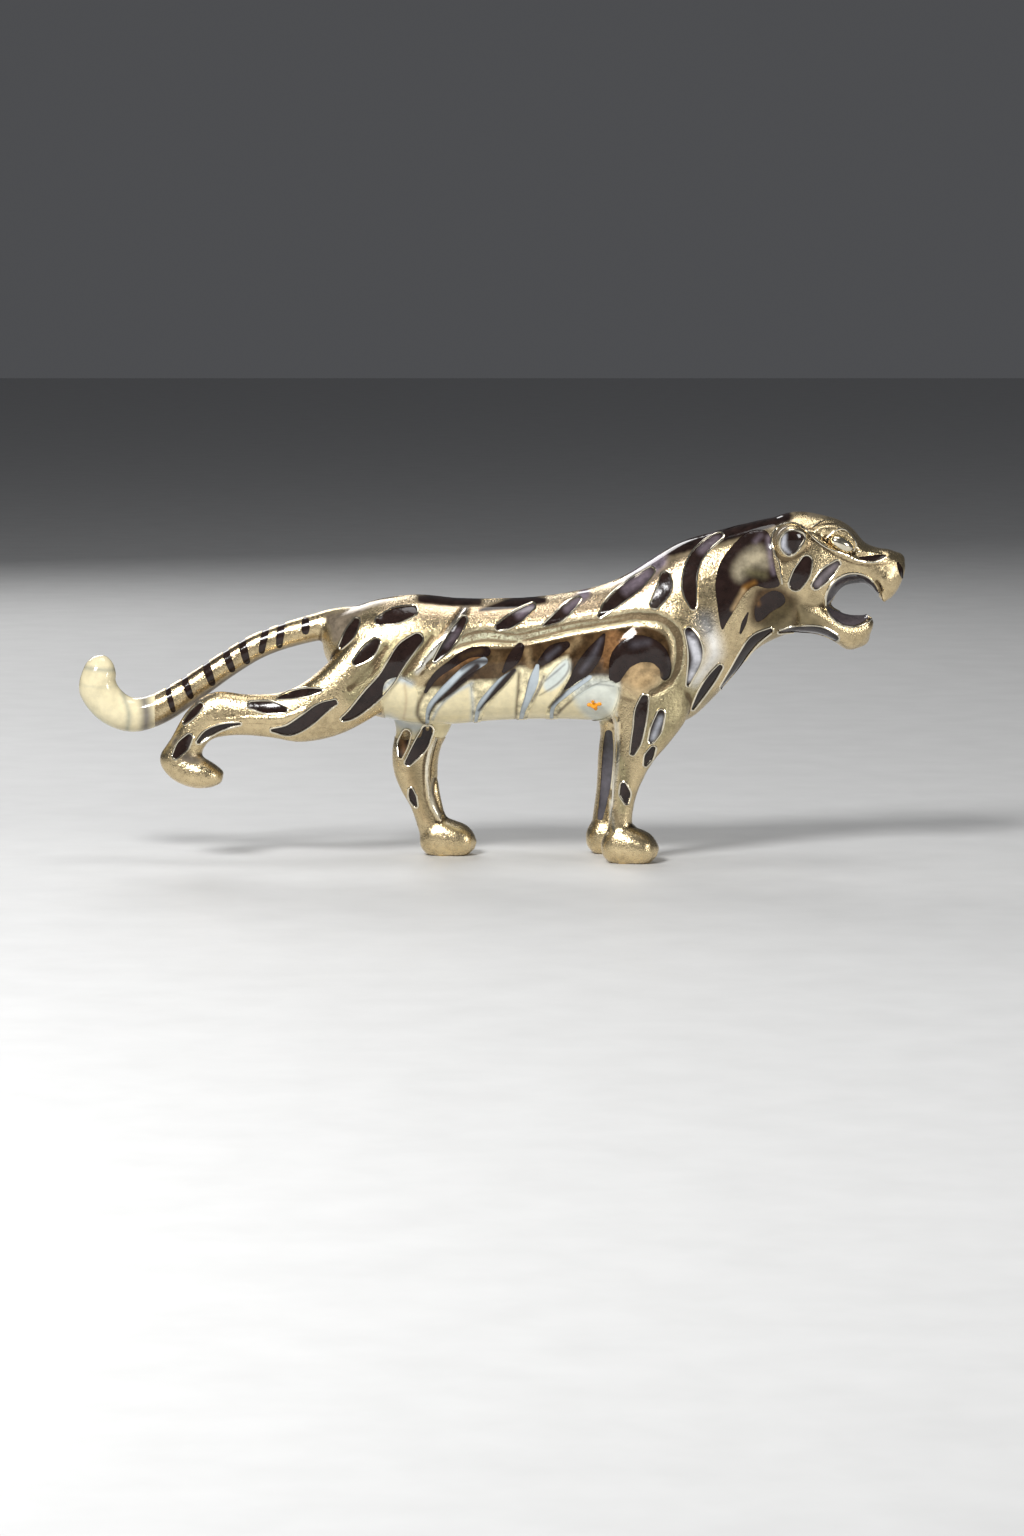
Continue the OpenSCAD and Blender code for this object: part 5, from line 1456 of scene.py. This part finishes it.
@dataclass
class Rims:
    """The thin bright wires round the cells, half sunk in the skin."""

    form: TigerForm
    radius: float = 0.27
    overlap: float = 0.16
    tree: BVHTree | None = None
    made: list[bpy.types.Object] = field(default_factory=list)

    def ready(self) -> None:
        """Makes the skin quick to find places on."""
        mesh = self.form.skin.data
        rows = places(self.form.skin)
        faces = [tuple(f.vertices) for f in mesh.polygons]
        self.tree = BVHTree.FromPolygons([tuple(p) for p in rows], faces)

    def drape(self, line: np.ndarray, side: Side, inner: bool = False) -> list[np.ndarray]:
        """Lays a side-view line on the skin, from outside or from the middle plane.

        Args:
            line: The line as [x, z] rows, in millimetres.
            side: The side it lies on.
            inner: Whether it lies on the side's inner face, as on a leg.

        Returns:
            The stretches of the line that meet the skin, as [x, y, z] rows.
        """
        runs: list[list[Vector]] = [[]]
        start, way = (0.3 * side.value, side.value) if inner else (60.0 * side.value, -side.value)
        for x, z in line:
            hit, normal, _, _ = self.tree.ray_cast(Vector((x, start, z)), Vector((0, way, 0)))
            if hit is None or abs(normal.y) < 0.12:
                runs.append([])
            else:
                runs[-1].append(hit + normal * 0.02)
        return [np.array(run) for run in runs if len(run) > 3]

    def wire(self, name: str, line: np.ndarray, side: Side, closed: bool, radius: float = 0.0,
             inner: bool = False) -> None:
        """Adds one rim.

        Args:
            name: The rim's name.
            line: Its line as [x, z] rows, in millimetres.
            side: The side that it lies on.
            closed: Whether it comes back to its start.
            radius: Half its thickness, in millimetres, or 0 for the usual.
            inner: Whether it lies on the side's inner face.
        """
        runs = self.drape(line, side, inner)
        if closed and len(runs) == 2 and len(runs[0]) + len(runs[1]) >= len(line) - 4:
            runs = [np.vstack([runs[1], runs[0]])]
        for run in runs:
            whole = closed and len(run) >= len(line) - 2
            self.made.append(tube(name, run, radius or self.radius, whole))

    def around(self, inlay: Inlay, side: Side) -> None:
        """Adds the rims round an inlay's cells, on both faces where the cells go through from the middle plane.

        Args:
            inlay: The inlay.
            side: The side that it lies on.
        """
        if inlay.rim is Rim.NONE:
            return
        for shape in inlay.shapes:
            line = shape.outline(self.overlap)
            self.wire(inlay.node, line, side, True)
            if inlay.near == 0.0:
                self.wire(inlay.node, line, side, True, inner=True)

    def finish(self) -> bpy.types.Object:
        """Joins the rims into one piece."""
        return joined("rims", self.made)


@dataclass
class Ornament:
    """The tiger's castings, enamel and fixings."""

    form: TigerForm = field(default_factory=TigerForm)
    mouth: Mouth = field(default_factory=Mouth)
    materials: dict[str, bpy.types.Material] = field(default_factory=dict)
    inlays: dict[Side, list[Inlay]] = field(default_factory=dict)
    rims: Rims | None = None
    fill_gap: float = 0.02
    outline_steps: int = 4

    def build(self) -> None:
        """Builds every piece in order."""
        self.mix_materials()
        self.form.build()
        self.inlays = {side: inlays_of(side) for side in Side}
        self.make_rims()
        self.fill_cells()
        self.cut_castings()
        self.add_eyes()
        self.dress_fixings()

    def mix_materials(self) -> None:
        """Makes the materials."""
        self.materials = {
            "cast": CastMetal("cast_gold").build(), "enamel": Enamel("dark_enamel").build(),
            "cream": Enamel("cream_enamel", cloud=0.1, ripple=0.05).build(),
            "wire": BrightWire("polished_rims").build(), "brass": TurnedBrass("turned_brass").build()}

    def own(self, piece: bpy.types.Object, look: Look, node: str | None = None) -> None:
        """Finishes a piece: its shading, colours, material and body.

        Args:
            piece: The piece.
            look: Its finish.
            node: The frame's node that it stands for, or nothing for a piece that the frame lacks.
        """
        if look.fine:
            modify(piece, "SUBSURF", subdivision_type="SIMPLE", levels=1, render_levels=1)
        smooth_shade(piece)
        self.dress(piece, look)
        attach(piece, BODY)
        if node:
            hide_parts(node)
            piece.name = f"{node}_piece"
        LOG.info("%s: %d faces", piece.name, len(piece.data.polygons))

    def dress(self, piece: bpy.types.Object, look: Look) -> None:
        """Gives a piece its colours and material."""
        Finish.lay(piece, look.tone, look.glaze, look.grain, look.paints)
        piece.data.materials.clear()
        piece.data.materials.append(self.materials[look.material])

    # ---- cells

    def side_prisms(self, inlay: Inlay, side: Side, grow: float) -> bpy.types.Object:
        """The prisms over an inlay's shapes, wider by grow all round."""
        near, far = inlay.near * side.value, inlay.far * side.value
        made = [prism(inlay.node, shape.outline(grow, self.outline_steps), near, far) for shape in inlay.shapes]
        return joined(inlay.node, made)

    def spine_prisms(self, grow: float) -> bpy.types.Object:
        """The prisms over the spine's stripes, seen from above."""
        made = []
        for shape in SPINE:
            outline = shape.outline(grow, self.outline_steps)
            rings = [np.column_stack([outline, np.full(len(outline), z)]) for z in (56.0, 90.0)]
            made.append(swept("spine_stripes", rings))
        return joined("spine_stripes", made)

    def tail_prisms(self, grow: float) -> bpy.types.Object:
        """The prisms over the tail's bars, right through it."""
        made = [prism("tail_stripes", bar.outline(grow, self.outline_steps), -8, 8) for bar in TAIL_BARS]
        return joined("tail_stripes", made)

    def belly_prism(self, index: int, grow: float) -> bpy.types.Object:
        """The prism over one of the belly's panels, from flank to flank."""
        return prism(f"belly_panel_{index + 1}", BELLY[index].outline(grow, self.outline_steps), -30, 30)

    def fill_cells(self) -> None:
        """Fills every cell with enamel, a little under the surface."""
        gap = -self.fill_gap
        for side in Side:
            for inlay in self.inlays[side]:
                self.make_fill(self.side_prisms(inlay, side, gap), inlay.node)
        self.make_fill(self.spine_prisms(gap), "spine_stripes")
        self.make_fill(self.tail_prisms(gap), "tail_stripes")
        for i in range(len(BELLY)):
            self.make_fill(self.belly_prism(i, gap), f"belly_panel_{i + 1}")
        self.make_amber()
        self.make_mouth_lining()

    def make_fill(self, fill: bpy.types.Object, node: str) -> None:
        """Trims prisms to the enamel that lies in their cells, and dresses it."""
        carve(fill, self.form.cell_shell, Cut.WITHIN)
        self.own(fill, look_of(node), node)

    def make_amber(self) -> None:
        """The two amber flowers in the front belly panel, standing a little proud."""
        spots = []
        for side in Side:
            for x, z, r in AMBER_PETALS:
                hit, _, _, _ = self.rims.tree.ray_cast(Vector((x, 60 * side.value, z)), Vector((0, -side.value, 0)))
                spots.append(ball("amber_spots", tuple(hit), (r, 0.4, r * 0.85), segments=20))
        piece = joined("amber_spots", spots)
        modify(piece, "REMESH", mode="VOXEL", voxel_size=0.12 * MM)
        modify(piece, "SMOOTH", factor=0.5, iterations=4)
        self.own(piece, look_of("amber_spots"), "amber_spots")

    def make_mouth_lining(self) -> None:
        """The dark enamel ring on the mouth's flared wall."""
        lining = self.mouth.tool(self.mouth.wall)
        lining.name = "mouth_lining"
        inner = self.mouth.tool()
        inside = self.form.offset_copy("mouth_bound", -0.2)
        carve(lining, inside, Cut.WITHIN)
        carve(lining, inner, Cut.AWAY)
        drop(inner, inside)
        self.own(lining, look_of("mouth_lining"), "mouth_lining")

    # ---- metal

    def make_rims(self) -> None:
        """Lays every bright wire on the skin."""
        self.rims = Rims(self.form)
        self.rims.ready()
        for side in Side:
            for inlay in self.inlays[side]:
                self.rims.around(inlay, side)
            self.rims.wire("mouth_rim", self.mouth.cheek_rim(), side, False, self.mouth.rim_radius)
            for line, radius in HEAD_WIRES:
                self.rims.wire("head_rim", smooth_line(line, 8), side, False, radius)
        piece = self.rims.finish()
        self.own(piece, look_of("eye"))

    def cut_cells(self, body: bpy.types.Object) -> None:
        """Cuts every cell and the mouth in the skin."""
        cutter = joined("cells", [self.side_prisms(inlay, side, 0.0) for side in Side for inlay in self.inlays[side]]
                        + [self.spine_prisms(0.0), self.tail_prisms(0.0)]
                        + [self.belly_prism(i, 0.0) for i in range(len(BELLY))])
        carve(cutter, self.form.core, Cut.AWAY)
        carve(body, cutter, Cut.AWAY)
        mouth = self.mouth.tool(self.mouth.wall + self.fill_gap)
        carve(body, mouth, Cut.AWAY)
        drop(cutter, mouth)

    def cut_castings(self) -> None:
        """Cuts the cells, and parts the skin into castings at the frame's joint planes."""
        body = self.form.skin
        self.cut_cells(body)
        rear = frame_mm("trunk")[0][0]
        level = frame_mm("right_front_leg")[1][2]
        tip = frame_mm("tail")[0][0]
        # The blocks that hold each leg. The right hind leg's keep clear of the tail above it and beside it.
        leg_spaces = {
            "right_hind_leg": [
                ((tip, -FAR, UNDER), (rear, -4.05, 48)), ((-54, -FAR, UNDER), (rear, FAR, 48)),
                ((-60.5, -FAR, UNDER), (-53.5, FAR, 44.4)), ((tip, -FAR, UNDER), (-60, FAR, 28))],
            "left_hind_leg": [((-30, 0, UNDER), (0, FAR, level))],
            "right_front_leg": [((18, -FAR, UNDER), (60, 0, level))],
            "left_front_leg": [((18, 0, UNDER), (60, FAR, level))],
        }
        for node, spaces in leg_spaces.items():
            tool = box("space", *spaces[0])
            for extra in spaces[1:]:
                more = box("space", *extra)
                carve(tool, more, Cut.JOINED)
                drop(more)
            self.part_off(body, tool, node)
        for node, low, high in (("tail_tip", -FAR, tip), ("tail", tip, rear)):
            self.part_off(body, box("space", (low, -FAR, UNDER), (high, FAR, FAR)), node)
        self.part_off(body, self.head_space(), "head")
        body.name = "trunk"
        self.finish_casting(body, "trunk")
        drop(self.form.core, self.form.cell_shell)

    def part_off(self, body: bpy.types.Object, space: bpy.types.Object, node: str) -> None:
        """Parts one casting off the body and finishes it.

        Args:
            body: What is left of the skin, which loses the casting.
            space: The space that holds the casting, which is used up.
            node: The frame's node that the casting stands for.
        """
        casting = copy_of(body, node)
        carve(casting, space, Cut.WITHIN)
        carve(body, space, Cut.AWAY)
        drop(space)
        self.finish_casting(casting, node)

    def head_space(self) -> bpy.types.Object:
        """The space ahead of the head's leaning joint plane."""
        space = box("head_space", (0, -FAR, -FAR), (2 * FAR, FAR, FAR))
        lean = math.radians(HEAD_JOINT_LEAN)
        x, z = HEAD_JOINT
        at = places(space)
        turned = np.column_stack([
            x + at[:, 0] * math.cos(lean) - at[:, 2] * math.sin(lean), at[:, 1],
            z + at[:, 0] * math.sin(lean) + at[:, 2] * math.cos(lean)])
        put(space, turned)
        return space

    def finish_casting(self, casting: bpy.types.Object, node: str) -> None:
        """Opens a casting's insert pocket, clears its crumbs and dresses it.

        Args:
            casting: The casting.
            node: The frame's node that it stands for.
        """
        insert = node.replace("_leg", "_insert")
        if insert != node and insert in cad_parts:
            low, high = frame_mm(insert)
            clear_selection()
            bpy.ops.mesh.primitive_cylinder_add(
                vertices=64, radius=(high[0] - low[0]) / 2 * MM, depth=(high[2] - low[2] + 2) * MM,
                location=((low[0] + high[0]) / 2 * MM, (low[1] + high[1]) / 2 * MM, (high[2] - 2 - low[2]) / 2 * MM))
            pocket = bpy.context.object
            bpy.ops.object.transform_apply(location=True, rotation=True, scale=True)
            carve(casting, pocket, Cut.AWAY)
            drop(pocket)
        drop_crumbs(casting)
        self.own(casting, look_of(node), node)

    def add_eyes(self) -> None:
        """Sets a polished almond eye under each brow."""
        for side in Side:
            low, high = frame_mm(f"{side.label}_eye")
            y = (low[1] + high[1]) / 2
            eye = ball(f"{side.label}_eye", (EYE_AT[0], y, EYE_AT[1]), EYE_RADII, (0, 27, -10 * side.value))
            self.own(eye, look_of("eye"), f"{side.label}_eye")

    def dress_fixings(self) -> None:
        """Gives the frame's own dowels and inserts their brass."""
        for name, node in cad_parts.items():
            if name.endswith(("_dowel", "_insert")):
                node.data.materials.clear()
                node.data.materials.append(self.materials["brass"])


@dataclass
class Studio:
    """The floor, lights and camera."""

    lens: float = 120.0
    height_seen: float = 368.6
    elevation: float = 6.0
    aim: Point = (4.9, 0.0, 21.6)
    room: Colour = (0.46, 0.47, 0.50)
    room_strength: float = 0.16

    def build(self) -> None:
        """Sets the studio up."""
        self.floor()
        self.lights()
        self.camera()

    def floor(self) -> None:
        """A wide pale floor at the tiger's soles."""
        clear_selection()
        bpy.ops.mesh.primitive_plane_add(size=8.0, location=(0, 0, CAD_BOX[0][2] - 0.00005))
        plane = bpy.context.object
        plane.name = "floor"
        plane.data.materials.append(PaleFloor("pale_floor").build())
        bpy.ops.object.transform_apply(location=True, rotation=True, scale=True)

    def lights(self) -> None:
        """Four soft round lights over a dim room, all aimed at the tiger's middle."""
        world = bpy.data.worlds.new("room")
        bpy.context.scene.world = world
        world.use_nodes = True
        world.node_tree.nodes["Background"].inputs["Color"].default_value = (*self.room, 1)
        world.node_tree.nodes["Background"].inputs["Strength"].default_value = self.room_strength
        bpy.context.scene.view_settings.view_transform = "Standard"
        for name, at, size, power in (
            ("key", (-0.35, -0.7, 0.7), 0.3, 10.6),
            ("fill", (0.8, -0.55, 0.3), 0.25, 2.6),
            ("top", (0.1, 0.1, 0.9), 0.45, 2.0),
            ("back", (-0.3, 0.8, 0.5), 0.5, 3.0),
        ):
            lamp = bpy.data.lights.new(name, "AREA")
            lamp.shape = "DISK"
            lamp.size = size
            lamp.energy = power
            holder = bpy.data.objects.new(name, lamp)
            bpy.context.scene.collection.objects.link(holder)
            holder.location = at
            aim = Vector((0, 0, 0.04)) - Vector(at)
            holder.rotation_euler = aim.to_track_quat("-Z", "Y").to_euler()

    def camera(self) -> None:
        """A camera beside the tiger's right flank, a little above it."""
        data = bpy.data.cameras.new("camera")
        data.lens = self.lens
        data.sensor_width = 36.0
        distance = self.lens * self.height_seen / data.sensor_width * MM
        lift = math.radians(self.elevation)
        holder = bpy.data.objects.new("camera", data)
        bpy.context.scene.collection.objects.link(holder)
        aim = Vector(self.aim) * MM
        holder.location = aim + Vector((0, -math.cos(lift), math.sin(lift))) * distance
        holder.rotation_euler = (aim - holder.location).to_track_quat("-Z", "Y").to_euler()
        bpy.context.scene.camera = holder


def main() -> None:
    """Builds the tiger and its studio."""
    Studio().build()
    Ornament().build()
    clear_selection()
    bpy.context.view_layer.update()


if __name__ == "__main__":
    main()
